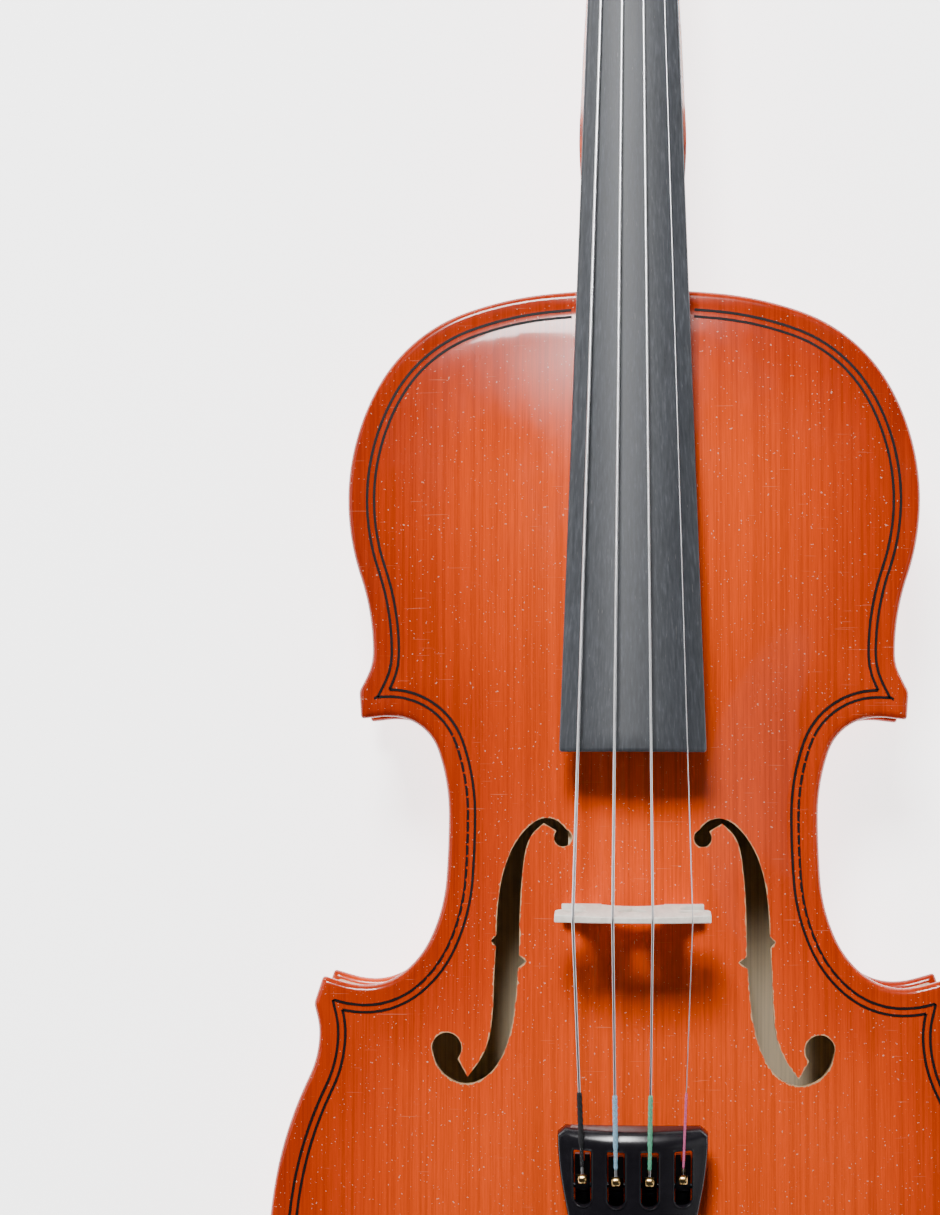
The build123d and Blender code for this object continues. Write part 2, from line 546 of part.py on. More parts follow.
def neck_and_scroll(root):
    """Neck shaft, heel, open pegbox and stepped scroll, carved from one piece."""
    nut_end = -NECK_STOP - NUT_LENGTH
    shaft = loft([half_round(nut_end, NECK_WIDTH_NUT, NECK_DEPTH_NUT),
                  half_round(-HEEL_START + 6, NECK_WIDTH_BODY, NECK_DEPTH_HEEL)], ruled=True)
    eye_v = -(NECK_STOP + HEAD_LENGTH - SCROLL_RADIUS)
    steps = [-NECK_STOP + (eye_v + NECK_STOP) * i / 6 for i in range(7)]
    throat = nut_end - CHEEK_LENGTH
    outer = [*[(v, head_back(v)) for v in steps], (eye_v, SCROLL_SHOULDER), (throat, head_top(throat)),
             (nut_end, head_top(nut_end)), (-NECK_STOP, neck_plane(-NECK_STOP))]
    ends = [(-NECK_STOP + 1, PEGBOX_WIDTH_NUT), (eye_v - 1, PEGBOX_WIDTH_SCROLL)]
    corners = [spot(side * w / 2, v) for side, (v, w) in
               ((-1, ends[0]), (1, ends[0]), (1, ends[1]), (-1, ends[1]))]
    taper = prism(make_face(Polyline(*corners, close=True)), -1, FAR)
    head = strip(outer, PEGBOX_WIDTH_NUT) & taper
    centre = spot(0, eye_v, SCROLL_RADIUS)
    disc_plane = Plane(origin=centre, x_dir=(0, 1, 0), z_dir=(1, 0, 0))
    for radius, half_width in SCROLL_STEPS:
        head += disc_plane * extrude(Circle(radius), amount=half_width, both=True)
    floor = [(v, head_back(v) + PEGBOX_FLOOR) for v in steps]
    box_start, box_end = nut_end - 3, eye_v + SCROLL_STEPS[1][0]
    inside = [(box_start, floor[0][1]), *[p for p in floor[1:] if p[0] > box_end + 2],
              (box_end, head_back(box_end) + PEGBOX_FLOOR), (box_end, FAR / 3), (box_start, FAR / 3)]
    walls = [spot(side * (pegbox_width(v) / 2 - CHEEK), v) for side, v in
             ((-1, box_start), (1, box_start), (1, box_end), (-1, box_end))]
    head -= strip(inside, PEGBOX_WIDTH_NUT) & prism(make_face(Polyline(*walls, close=True)), -1, FAR)
    neck = root + shaft + head
    behind = MORTISE + 1
    above = [(behind, neck_plane(behind)), (nut_end, neck_plane(nut_end)), (nut_end, FAR), (behind, FAR)]
    neck -= strip(above, NECK_WIDTH_BODY)
    for name in PEGS:
        half = PEGBOX_WIDTH_NUT / 2 + 2
        neck -= cone(name, -half, half, PEG_CLEARANCE)
    return neck


def board_half_width(v):
    """Half the fingerboard's width, straight from the nut to its free end."""
    share = (v + NECK_STOP) / BOARD_LENGTH
    return (NECK_WIDTH_NUT + (BOARD_END_WIDTH - NECK_WIDTH_NUT) * share) / 2


def crowned(v, half, edge, radius, base, plane_level):
    """A section with a flat underside, upright sides and a round top of a given radius."""
    rise = radius - sqrt(radius ** 2 - half ** 2)
    level = plane_level(v)
    right, left = spot(half, v, level + edge), spot(-half, v, level + edge)
    top = ThreePointArc(right, spot(0, v, level + edge + rise), left)
    rest = Polyline(spot(-half, v, level + edge), spot(-half, v, level + base), spot(half, v, level + base),
                    spot(half, v, level + edge))
    return Face(Wire(top.edges() + rest.edges()))


def fingerboard():
    """Tapered board with a round top, hollowed underneath where it stands free of the neck."""
    end = BOARD_LENGTH - NECK_STOP
    board = loft([crowned(v, board_half_width(v), BOARD_EDGE, BOARD_CROWN, 0, neck_plane)
                  for v in (-NECK_STOP, end)], ruled=True)
    free = MORTISE + 8
    scoop = loft([crowned(v, board_half_width(v) - 4, -1, BOARD_CROWN - 5, -3, neck_plane)
                  for v in (free, end + 1)], ruled=True)
    return board - scoop


def crown_rise(half, radius):
    """Height of a round top of a given radius over a given half width."""
    return radius - sqrt(radius ** 2 - half ** 2)


def nut():
    """The small block that carries the strings at the head end of the fingerboard."""
    front = -NECK_STOP
    width = NECK_WIDTH_NUT / 2
    ends = ((front, NUT_ABOVE_BOARD), (front - NUT_LENGTH, NUT_ABOVE_BOARD - NUT_FALL))
    sections = [crowned(v, width, BOARD_EDGE + extra, BOARD_CROWN, 0, neck_plane) for v, extra in ends]
    return loft(sections, ruled=True)


# ---- Bridge and tailpiece --------------------------------------------------------------------------

def plate_top(x, v):
    """Level of the top plate's arched surface."""
    return TOP_EDGE + TOP_RISE * arch(x, v)


def bridge_top():
    """Level of the bridge's crown at the middle."""
    return plate_top(0, BRIDGE_V) + BRIDGE_HEIGHT


def bridge():
    """The carved bridge: two feet cut to the arch, open sides and heart, thinner towards the top."""
    foot, wing = BRIDGE_FEET / 2, BRIDGE_WINGS / 2
    top, low = bridge_top(), plate_top(0, BRIDGE_V) - 6
    back = BRIDGE_V + BRIDGE_FOOT_THICKNESS / 2
    unit = BRIDGE_HEIGHT / 33

    def at(x, height):
        return spot(x, back, top - BRIDGE_HEIGHT + height * unit)

    shoulder = top - BRIDGE_HEIGHT
    crown_edge = (top - crown_rise(wing, BRIDGE_CROWN) - shoulder) / unit
    side = [(wing + x, h) for x, h in BRIDGE_SIDE]
    right = [(wing, crown_edge), (wing, BRIDGE_WING_LOW), *side, (foot, -6)]
    inner = [(foot + BRIDGE_ARCH[0][0], -6), *[(foot + x, h) for x, h in BRIDGE_ARCH], (0, BRIDGE_ARCH_TOP)]
    outline = [at(x, h) for x, h in right + inner] + [at(-x, h) for x, h in reversed(right + inner[:-1])]
    crown = ThreePointArc(outline[-1], spot(0, back, top), outline[0])
    face = Face(Wire(Polyline(*outline).edges() + crown.edges()))
    blank = extrude(face, amount=BRIDGE_FOOT_THICKNESS, dir=(0, 1, 0))
    view = [(back, low), (back, top + 1), (back - BRIDGE_TOP_THICKNESS, top + 1),
            (back - BRIDGE_FOOT_THICKNESS, low + 8), (back - BRIDGE_FOOT_THICKNESS, low)]
    blank = blank & strip(view, BRIDGE_WINGS)
    across = Plane(origin=spot(0, back, shoulder), x_dir=(1, 0, 0), z_dir=(0, -1, 0))
    lobe_x, lobe_height, lobe_radius = HEART_LOBE
    heart = [Pos(side * lobe_x, lobe_height * unit) * Circle(lobe_radius) for side in (-1, 1)]
    point = make_face(Polyline(*[(x, height * unit) for x, height in HEART_POINT], close=True))
    eye_x, eye_height, eye_radius = BRIDGE_EYE
    eyes = [Pos(side * (wing - eye_x), eye_height * unit) * Circle(eye_radius) for side in (-1, 1)]
    for hole in (*heart, point, *eyes):
        blank -= across * extrude(hole, amount=BRIDGE_FOOT_THICKNESS * 2, both=True)
    return blank - arch_space(TOP_EDGE, TOP_RISE, -1)


def string_top(name, rank_spacing, crown):
    """How far a string's place lies below the crown of what carries it."""
    return crown_rise(abs(STRING_RANK[name]) * rank_spacing, crown)


SADDLE_TOP = TOP_EDGE + SADDLE[2] + GUT_RADIUS
BRIDGE_TOP = bridge_top()
TAIL_SLOPE = (BRIDGE_TOP - SADDLE_TOP) / (BODY_LENGTH - SADDLE[1] / 2 - BRIDGE_V)
TAIL_RISE = TAILPIECE_BELOW_STRINGS + GUT_DEPTH
TAIL_ANGLE = atan(TAIL_SLOPE) - atan(TAIL_RISE / TAILPIECE_LENGTH)
TAIL_FRONT_LEVEL = BRIDGE_TOP - TAIL_SLOPE * (TAILPIECE_V - BRIDGE_V) - TAILPIECE_BELOW_STRINGS
TAIL_PLANE = Plane(origin=spot(0, TAILPIECE_V, TAIL_FRONT_LEVEL), x_dir=(1, 0, 0),
                   z_dir=(0, -sin(TAIL_ANGLE), cos(TAIL_ANGLE)))


def tail(x, along, up):
    """A point of the model from its place in the tailpiece: across, forwards along its crown, and up."""
    return TAIL_PLANE.from_local_coords(Vector(x, along, up))


def tail_section(along, half, side, radius, down=0.0):
    """Section of the tailpiece: crowned top and upright sides."""
    rise = crown_rise(half, radius)
    right, left = tail(half, along, -rise - down), tail(-half, along, -rise - down)
    top = ThreePointArc(right, tail(0, along, -down), left)
    rest = Polyline(tail(-half, along, -rise - down), tail(-half, along, -side), tail(half, along, -side),
                    tail(half, along, -rise - down))
    return Face(Wire(top.edges() + rest.edges()))


def tail_box(x, along, up):
    """A box in the tailpiece's own directions, from pairs of limits."""
    size = (x[1] - x[0], along[1] - along[0], up[1] - up[0])
    return TAIL_PLANE * (Pos(x[0], along[0], up[0]) * Box(*size, align=(Align.MIN, Align.MIN, Align.MIN)))


def tail_rod(x, along, low, high, radius):
    """A round post square to the tailpiece's crown."""
    post = Cylinder(radius, high - low, align=(Align.CENTER, Align.CENTER, Align.MIN))
    return TAIL_PLANE * (Pos(x, along, low) * post)


def cross_rod(low, high, radius, along, up):
    """A round bar across the tailpiece."""
    start = Plane(origin=tail(low, along, up), x_dir=(0, 1, 0), z_dir=(1, 0, 0))
    return start * Cylinder(radius, high - low, align=(Align.CENTER, Align.CENTER, Align.MIN))


def tuner_x(name):
    """Place of a string across the tailpiece."""
    return STRING_RANK[name] * TUNER_SPACING


def screw_seat(name):
    """Highest level of the tailpiece's surface under a screw's head."""
    return -crown_rise(max(abs(tuner_x(name)) - SCREW_HEAD[0], 0), TAILPIECE_CROWN)


ARM_TOP = AXLE_PLACE[1] - 0.4
SCREW_ALONG = AXLE_PLACE[0] - LEVER_ARM


def tail_half(along):
    """Half the tailpiece's width at a place along it."""
    return (TAILPIECE_WIDTH + (TAILPIECE_END_WIDTH - TAILPIECE_WIDTH) * -along / TAILPIECE_LENGTH) / 2


def tailpiece():
    """Moulded tailpiece: crowned shell, windows for the levers, holes for the screws, axle and gut."""
    wide = tail_section(0, TAILPIECE_WIDTH / 2, TAILPIECE_SIDE, TAILPIECE_CROWN)
    narrow = tail_section(-TAILPIECE_LENGTH, TAILPIECE_END_WIDTH / 2, TAILPIECE_END_SIDE, TAILPIECE_CROWN)
    body = loft([wide, narrow], ruled=True)
    shell, side_wall = TAILPIECE_SHELL, TAILPIECE_SIDE_WALL
    hollow = SCREW_ALONG - SCREW_HEAD[0] - 4
    body -= loft([tail_section(along, tail_half(along) - side_wall, TAILPIECE_SIDE + 3,
                               TAILPIECE_CROWN - shell, shell) for along in (-shell, hollow)], ruled=True)
    pocket = -TAILPIECE_LENGTH + GUT_HOLD
    body -= tail_box((-GUT_SPREAD - 3, GUT_SPREAD + 3), (pocket, pocket + 14), (-TAILPIECE_SIDE, -1.3))
    for name in STRING_RANK:
        x, half = tuner_x(name), WINDOW_WIDTH / 2
        body -= tail_box((x - half, x + half), (-WINDOW[1] + half, -WINDOW[0]), (-TAILPIECE_SIDE, 2))
        body -= tail_rod(x, -WINDOW[1] + half, -TAILPIECE_SIDE, 2, half)
        body -= tail_rod(x, SCREW_ALONG, -TAILPIECE_SIDE, 2, SCREW_RADIUS + RUNNING_FIT)
    return body - cross_rod(-AXLE_HALF, AXLE_HALF, AXLE_RADIUS, *AXLE_PLACE) - tail_gut(TOUCH / 2)


AXLE_HALF = tail_half(AXLE_PLACE[0]) - 0.5


def lever(name):
    """A fine tuner's lever: slotted fork for the string's ball, hub on the axle, arm under the screw."""
    x, half = tuner_x(name), LEVER_WIDTH / 2
    along, up = AXLE_PLACE
    hub = cross_rod(x - half, x + half, LEVER_HUB, along, up)
    tip = -WINDOW[0] - LEVER_NOSE
    ball_along, ball_up = ball_place(name)
    rear = ball_along + BALL[0] + 0.1
    view = [(tip, ball_up + LEVER_NOSE / 2), (tip, ball_up - LEVER_NOSE), (along + 1.9, up - 0.4),
            (along - 0.5, up + 1.9), (ball_along - 0.8, ball_up - 1.8), (rear, ball_up + 1.0)]
    fork = extrude(make_face(Polyline(*[tail(x - half, a, u) for a, u in view], close=True)),
                   amount=LEVER_WIDTH, dir=(1, 0, 0))
    slot = tail_box((x - LEVER_SLOT / 2, x + LEVER_SLOT / 2), (ball_along, 0),
                    (ball_up - LEVER_SLOT_DEPTH, 3))
    seat = cross_rod(x - half, x + half, BALL[0] + 0.02, ball_along, ball_up)
    arm = tail_box((x - half, x + half), (SCREW_ALONG - LEVER_ARM_TAIL, along),
                   (ARM_TOP - LEVER_ARM_THICKNESS, ARM_TOP))
    bore = cross_rod(x - LEVER_WIDTH, x + LEVER_WIDTH, AXLE_RADIUS + RUNNING_FIT, along, up)
    return hub + fork - slot - seat + arm - bore


def ball_place(name):
    """Place of a string's ball in its fork: along the tailpiece and above its crown."""
    crown = crown_rise(abs(tuner_x(name)) + LEVER_WIDTH / 2, TAILPIECE_CROWN)
    return AXLE_PLACE[0] + 3.2, -crown - 0.1


def screw(name):
    """A fine tuner's screw: round head, shank through the tailpiece, tapered tip over the lever's arm."""
    x, low = tuner_x(name), ARM_TOP + SCREW_TIP_GAP
    radius, height = SCREW_HEAD
    tip_radius, taper = SCREW_TIP
    under_head = screw_seat(name) + SCREW_TRAVEL + SCREW_HEAD_GAP
    tip = Cone(tip_radius, SCREW_RADIUS, taper, align=(Align.CENTER, Align.CENTER, Align.MIN))
    shank = tail_rod(x, SCREW_ALONG, low + taper, under_head + height / 2, SCREW_RADIUS)
    head = tail_rod(x, SCREW_ALONG, under_head, under_head + height, radius)
    return head + shank + TAIL_PLANE * (Pos(x, SCREW_ALONG, low) * tip)


def ball(name):
    """The brass ball end, lying across its fork."""
    x = tuner_x(name)
    return cross_rod(x - BALL[1] / 2, x + BALL[1] / 2, BALL[0], *ball_place(name))


# ---- Strings, gut and pegs -------------------------------------------------------------------------

def cord(points, radii, radius):
    """A round cord along straight runs joined by arcs."""
    path = FilletPolyline(*points, radius=radii)
    start = Plane(origin=path @ 0, z_dir=path % 0)
    return sweep(start * Circle(radius), path=path)


def winding_radius(name):
    """Outer radius of the string wound on its peg."""
    x = PEGS[name][2]
    turns = WINDING_TURNS * STRING_RADIUS[name] * PEG_TAPER
    return peg_radius(name, x) + turns + 2 * STRING_RADIUS[name]


def string_points(name):
    """The string's route: off the peg, over nut and bridge, down to its ball."""
    r = STRING_RADIUS[name]
    v, level = peg_place(name)
    side = STRING_RANK[name]
    nut_v = -NECK_STOP - 0.3 * NUT_LENGTH
    nut_crown = BOARD_EDGE + NUT_ABOVE_BOARD + crown_rise(NECK_WIDTH_NUT / 2, BOARD_CROWN)
    nut_level = neck_plane(nut_v) + nut_crown - string_top(name, NUT_SPACING, BOARD_CROWN) + r
    peg_top = spot(PEGS[name][2], v, level + winding_radius(name) + r + WINDING_CLEARANCE)
    bridge_v = BRIDGE_V + BRIDGE_FOOT_THICKNESS / 2 - BRIDGE_TOP_THICKNESS / 2
    bridge_level = BRIDGE_TOP - string_top(name, BRIDGE_SPACING, BRIDGE_CROWN) + r
    over = spot(side * BRIDGE_SPACING, bridge_v, bridge_level)
    along, up = ball_place(name)
    end = tail(tuner_x(name), along + BALL[0] + 0.2, up + 0.9)
    return [peg_top, spot(side * NUT_SPACING, nut_v, nut_level), over, end]


def string(name, extra=0.0):
    """One string, from its peg to its ball."""
    return cord(string_points(name), [2.5, 2.0], STRING_RADIUS[name] + extra)


def winding(name):
    """The string's turns on the peg, as one sleeve round its taper."""
    x, half = PEGS[name][2], WINDING_TURNS * STRING_RADIUS[name]
    v, level = peg_place(name)
    start = Plane(origin=spot(x - half, v, level), x_dir=(0, 1, 0), z_dir=(1, 0, 0))
    sleeve = Cylinder(winding_radius(name), 2 * half, align=(Align.CENTER, Align.CENTER, Align.MIN))
    return start * sleeve - cone(name, x - half - 1, x + half + 1)


def peg(name):
    """A tapered peg with collar, turned stem and flattened thumb piece."""
    v, level = peg_place(name)
    side = PEGS[name][1]
    cheek = pegbox_width(v) / 2
    collar = cheek + PEG_COLLAR_GAP
    shank = cone(name, *sorted((-side * (cheek + PEG_TIP), side * collar)))
    profile = [spot(side * (collar + out), v, level + radius) for out, radius in PEG_STEM]
    turned = revolve(make_face(Polyline(*profile, close=True)), Axis(spot(0, v, level), (1, 0, 0)), 360)
    middle = spot(side * (collar + PEG_THUMB_PLACE), v, level)
    flat = Plane(origin=middle, x_dir=(1, 0, 0), z_dir=(0, 0, 1))
    thumb = flat * extrude(Ellipse(*PEG_THUMB[:2]), amount=PEG_THUMB[2], both=True)
    thumb = fillet(thumb.edges(), radius=PEG_THUMB_ROUNDING)
    return shank + turned + thumb


def tail_gut(extra=0.0):
    """The loop from the tailpiece, over the saddle and round the neck of the end button."""
    around = BUTTON_NECK[0] + GUT_RADIUS + TOUCH
    centre = BACK_INSIDE + RIB_HEIGHT / 2
    hang_v = BODY_LENGTH - OVERHANG + BUTTON_COLLAR[1] + BUTTON_NECK[1] / 2
    level = SADDLE_TOP + TOUCH
    start = tail(GUT_SPREAD, -TAILPIECE_LENGTH + GUT_HOLD, -GUT_DEPTH)
    half = [start, spot(GUT_SPREAD, BODY_LENGTH - SADDLE[1] + 0.5, level), spot(around, hang_v, level),
            spot(around, hang_v, centre - around)]
    points = half + [Vector(-p.X, p.Y, p.Z) for p in reversed(half)]
    bend = around - 0.05
    return cord(points, [4, 2.2, bend, bend, 2.2, 4], GUT_RADIUS + extra)


def gut_nuts():
    """The two round nuts that hold the gut's ends in the tailpiece's pocket."""
    nuts = []
    for side in (-1, 1):
        plane = Plane(origin=tail(side * GUT_SPREAD, -TAILPIECE_LENGTH + GUT_HOLD + TOUCH, -GUT_DEPTH),
                      x_dir=(1, 0, 0), z_dir=TAIL_PLANE.y_dir)
        nuts.append(plane * Cylinder(*GUT_NUT, align=(Align.CENTER, Align.CENTER, Align.MIN)))
    return Compound([solid for nut_piece in nuts for solid in nut_piece.solids()])


def build_fittings(root):
    """Neck, fingerboard and everything that is strung or turned."""
    carved_nut, carved_bridge = nut(), bridge()
    for name in STRING_RANK:
        groove = string(name, GROOVE)
        carved_nut -= groove
        carved_bridge -= groove
    pieces = {"neck_and_scroll": neck_and_scroll(root), "fingerboard": fingerboard(), "nut": carved_nut,
              "bridge": carved_bridge, "tailpiece": tailpiece(), "tail_gut": tail_gut(),
              "tail_gut_nuts": gut_nuts(),
              "tuner_axle": cross_rod(-AXLE_HALF, AXLE_HALF, AXLE_RADIUS, *AXLE_PLACE)}
    for name in STRING_RANK:
        pieces[f"tuner_lever_{name}"] = lever(name)
        pieces[f"tuner_screw_{name}"] = screw(name)
        pieces[f"ball_end_{name}"] = ball(name)
        pieces[f"peg_{name}"] = peg(name)
        pieces[f"winding_{name}"] = winding(name)
        pieces[f"string_{name}"] = string(name)
    return pieces


def main():
    """Build every piece and write it."""
    os.makedirs("parts", exist_ok=True)
    box, root = build_box()
    for name, piece in {**box, **build_fittings(root)}.items():
        export_step(piece, f"parts/{name}.step")


main()
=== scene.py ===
"""Full-size violin on a pale studio floor: arched plates, carved scroll, fittings, strings and their looks.

Lengths in the tables are in millimetres; meshes are written in metres. Places along the body are given
as v: the distance down from the edge of the body at the neck, towards the end button.
"""
import math

import bpy
import numpy as np
from mathutils import Matrix, Vector
from mathutils.geometry import delaunay_2d_cdt


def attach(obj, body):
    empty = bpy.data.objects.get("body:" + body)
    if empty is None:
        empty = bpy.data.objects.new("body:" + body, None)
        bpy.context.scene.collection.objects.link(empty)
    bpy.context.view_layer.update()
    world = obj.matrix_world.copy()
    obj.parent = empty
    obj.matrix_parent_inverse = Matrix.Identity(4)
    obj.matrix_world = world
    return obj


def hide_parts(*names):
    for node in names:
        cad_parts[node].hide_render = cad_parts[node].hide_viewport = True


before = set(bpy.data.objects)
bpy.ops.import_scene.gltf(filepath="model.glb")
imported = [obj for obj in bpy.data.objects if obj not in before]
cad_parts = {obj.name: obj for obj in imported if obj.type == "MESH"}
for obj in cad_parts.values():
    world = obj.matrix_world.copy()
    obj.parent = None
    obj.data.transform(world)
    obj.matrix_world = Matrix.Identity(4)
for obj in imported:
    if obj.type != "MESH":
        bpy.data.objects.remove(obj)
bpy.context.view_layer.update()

bl_info = {
    "name": "Violin",
    "version": (1, 0, 0),
    "blender": (4, 5, 0),
    "location": "View3D > Sidebar > Violin",
    "description": "Builds a full-size violin piece by piece",
    "category": "Add Mesh",
}

MM = 0.001
BODY_EDGE_Y = 63.5
LENGTH = 355.0
UPPER, WAIST, LOWER = 84.5, 54.2, 106.8
UPPER_V, WAIST_V, LOWER_V = 0.176 * LENGTH, 0.4394 * LENGTH, 0.8085 * LENGTH
ARCH_MARGIN = 5.0
BACK_LEVEL, BACK_RISE = 10.5, 10.5
TOP_LEVEL, TOP_RISE = 49.5, 11.5
PLATE_EDGE = 4.0
NECK_LEVEL, NECK_SLOPE = 56.0, 0.117
NUT_V, BOARD_END_V = -130.0, 137.7

STATIONS = (
    ((0, 0, 0), (0.592 * UPPER, 0.0192 * LENGTH, 20), (UPPER, UPPER_V, 90),
     (0.910 * UPPER, 0.3056 * LENGTH, 90), (0.957 * UPPER, 0.3366 * LENGTH, 62)),
    ((0.950 * UPPER, 0.3597 * LENGTH, 185), (0.834 * UPPER, 0.3577 * LENGTH, 176),
     (WAIST, WAIST_V, 90), (1.096 * WAIST, 0.5408 * LENGTH, 65),
     (0.735 * LOWER, 0.58 * LENGTH, 0), (0.852 * LOWER, 0.5724 * LENGTH, -17)),
    ((0.8773 * LOWER, 0.5952 * LENGTH, 103), (0.8624 * LOWER, 0.6192 * LENGTH, 90),
     (0.939 * LOWER, 0.6915 * LENGTH, 71), (LOWER, LOWER_V, 90), (0, LENGTH, 180)),
)

NOTCH = np.array((36.2, 195.4))
UPPER_EYE = (-15.9, -33.0, 2.6)
LOWER_EYE = (18.0, 28.3, 4.4)
HOLE_OUTER_UPPER = ((-18.4, -33.0), (-13.8, -38.2), (-10.4, -38.7), (-5.2, -35.6), (0.9, -25.2),
                    (3.2, -13.0), (3.6, -4.6))
HOLE_OUTER_NICK = (5.2, -2.8)
HOLE_OUTER_LOWER = ((3.7, -1.2), (4.2, 9.6), (5.0, 22.3), (7.1, 29.6), (11.8, 36.4))
HOLE_LOWER_WING = (16.4, 32.5)
HOLE_INNER_LOWER = ((22.2, 29.2), (21.2, 32.6), (18.4, 36.2), (12.3, 38.5), (6.0, 36.0), (1.3, 29.5),
                    (-1.8, 17.6), (-2.9, 4.8))
HOLE_INNER_NICK = (-5.3, 2.9)
HOLE_INNER_UPPER = ((-3.2, 1.2), (-3.3, -10.6), (-4.3, -25.2), (-7.0, -34.1), (-10.3, -37.2))
HOLE_UPPER_WING = (-14.0, -35.0)

EDGE_PROFILE = ((1.5, 0.1), (0.9, 0.4), (0.4, 0.9), (0.1, 1.4), (0.0, 2.0), (0.1, 2.6), (0.4, 3.1),
                (0.9, 3.6), (1.5, 3.9))
FLAT_INSET = 2.2
CHANNEL = (0.35, 6.5, 2.6)
PURFLING = ((5.8, 2.3), (7.9, 0.0))
PURFLING_WIDTH = 0.8
PLATE_SHELLS = (4.4, 5.8, 7.9, 9.5)
BOARD_CROWN, BOARD_EDGE = 42.0, 5.0
BOARD_NUT_WIDTH, BOARD_END_WIDTH = 24.0, 42.0
TAIL_CROWN = 50.0
BUTTON_RADIUS, BUTTON_CENTRE = 10.74, -2.26
AT_NUT, AT_BRIDGE, AT_TAIL = 5.45, 11.15, 9.5


# ---- Curves and surfaces ---------------------------------------------------------------------------

def unit(vectors):
    """Vectors scaled to length one."""
    return vectors / np.linalg.norm(vectors, axis=-1, keepdims=True)


def smooth(low, high, x):
    """A smooth step from 0 at low to 1 at high."""
    t = np.clip((x - low) / (high - low), 0, 1)
    return t * t * (3 - 2 * t)


def spline(points, count):
    """A natural cubic spline through points, spaced by their chords."""
    p = np.asarray(points, float)
    t = np.concatenate([[0], np.cumsum(np.linalg.norm(np.diff(p, axis=0), axis=1))])
    n, h = len(p), np.diff(t)
    system, right = np.eye(n), np.zeros_like(p)
    for i in range(1, n - 1):
        system[i, i - 1:i + 2] = h[i - 1], 2 * (h[i - 1] + h[i]), h[i]
        right[i] = 6 * ((p[i + 1] - p[i]) / h[i] - (p[i] - p[i - 1]) / h[i - 1])
    m = np.linalg.solve(system, right)
    s = np.linspace(0, t[-1], count)
    k = np.clip(np.searchsorted(t, s, side="right") - 1, 0, n - 2)
    a, b, w = (t[k + 1] - s)[:, None], (s - t[k])[:, None], h[k][:, None]
    return ((m[k] * a ** 3 + m[k + 1] * b ** 3) / (6 * w) + (p[k] / w - m[k] * w / 6) * a
            + (p[k + 1] / w - m[k + 1] * w / 6) * b)


def resample(path, step):
    """A polyline's points at an even spacing close to step."""
    path = np.asarray(path, float)
    t = np.concatenate([[0], np.cumsum(np.linalg.norm(np.diff(path, axis=0), axis=1))])
    s = np.linspace(0, t[-1], max(2, int(round(t[-1] / step)) + 1))
    return np.stack([np.interp(s, t, path[:, k]) for k in range(path.shape[1])], axis=1)


def model(x, v, z):
    """Places across, along the body and up, as points of the model in millimetres."""
    x, v, z = np.broadcast_arrays(np.asarray(x, float), v, z)
    return np.stack([x, BODY_EDGE_Y - v, z], axis=-1)


def strip_faces(rows, columns, closed=False, start=0):
    """Quads between neighbouring rows of a grid of points."""
    last = columns if closed else columns - 1
    i, j = np.meshgrid(np.arange(rows - 1), np.arange(last), indexing="ij")
    k = (j + 1) % columns
    quads = np.stack([i * columns + j, i * columns + k, (i + 1) * columns + k, (i + 1) * columns + j], -1)
    return (quads.reshape(-1, 4) + start).tolist()


def closed_loft(rings):
    """A solid through closed rings of points, closed at each end by a fan about the ring's middle."""
    rings = np.asarray(rings, float)
    rows, columns = rings.shape[:2]
    points = np.concatenate([rings.reshape(-1, 3), rings[0].mean(0)[None], rings[-1].mean(0)[None]])
    faces = strip_faces(rows, columns, closed=True)
    first, last, base = rows * columns, rows * columns + 1, (rows - 1) * columns
    for j in range(columns):
        k = (j + 1) % columns
        faces.append((first, k, j))
        faces.append((last, base + j, base + k))
    return points, faces


def joined(*solids):
    """Several solids as one list of points and faces."""
    points, faces, start = [], [], 0
    for some_points, some_faces in solids:
        points.append(some_points)
        faces += [tuple(i + start for i in face) for face in some_faces]
        start += len(some_points)
    return np.concatenate(points), faces


def tube(path, radius, sides=16):
    """A round tube along a path; rings stay square to it and do not twist. Radius may vary by point."""
    path = np.asarray(path, float)
    along = unit(np.gradient(path, axis=0))
    radius = np.broadcast_to(np.asarray(radius, float), (len(path),))
    normal = np.zeros_like(path)
    start = np.array((1.0, 0, 0)) if abs(along[0, 0]) < 0.9 else np.array((0, 1.0, 0))
    for i, direction in enumerate(along):
        start = start - direction * start.dot(direction)
        start = start / np.linalg.norm(start)
        normal[i] = start
    other = np.cross(along, normal)
    angle = np.arange(sides) * 2 * math.pi / sides
    ring = (np.cos(angle)[None, :, None] * normal[:, None] + np.sin(angle)[None, :, None] * other[:, None])
    return closed_loft(path[:, None] + ring * radius[:, None, None])


def turned(profile, origin, axis, sides=48):
    """A solid turned about an axis from pairs of distance along it and radius."""
    axis = unit(np.asarray(axis, float))
    side = np.array((0, 0, 1.0)) if abs(axis[2]) < 0.9 else np.array((1.0, 0, 0))
    side = unit(side - axis * side.dot(axis))
    other = np.cross(axis, side)
    angle = np.arange(sides) * 2 * math.pi / sides
    around = np.cos(angle)[:, None] * side + np.sin(angle)[:, None] * other
    rings = [np.asarray(origin) + axis * along + around * max(radius, 0.01) for along, radius in profile]
    return closed_loft(rings)


def inside(points, loop):
    """Which points lie inside a closed loop, by counting crossings."""
    x, y = points[:, 0][:, None], points[:, 1][:, None]
    a, b = loop, np.roll(loop, -1, axis=0)
    crosses = (a[:, 1] > y) != (b[:, 1] > y)
    rise = np.where(b[:, 1] == a[:, 1], 1e-12, b[:, 1] - a[:, 1])
    reach = a[:, 0] + (y - a[:, 1]) * (b[:, 0] - a[:, 0]) / rise
    return (crosses & (x < reach)).sum(axis=1) % 2 == 1


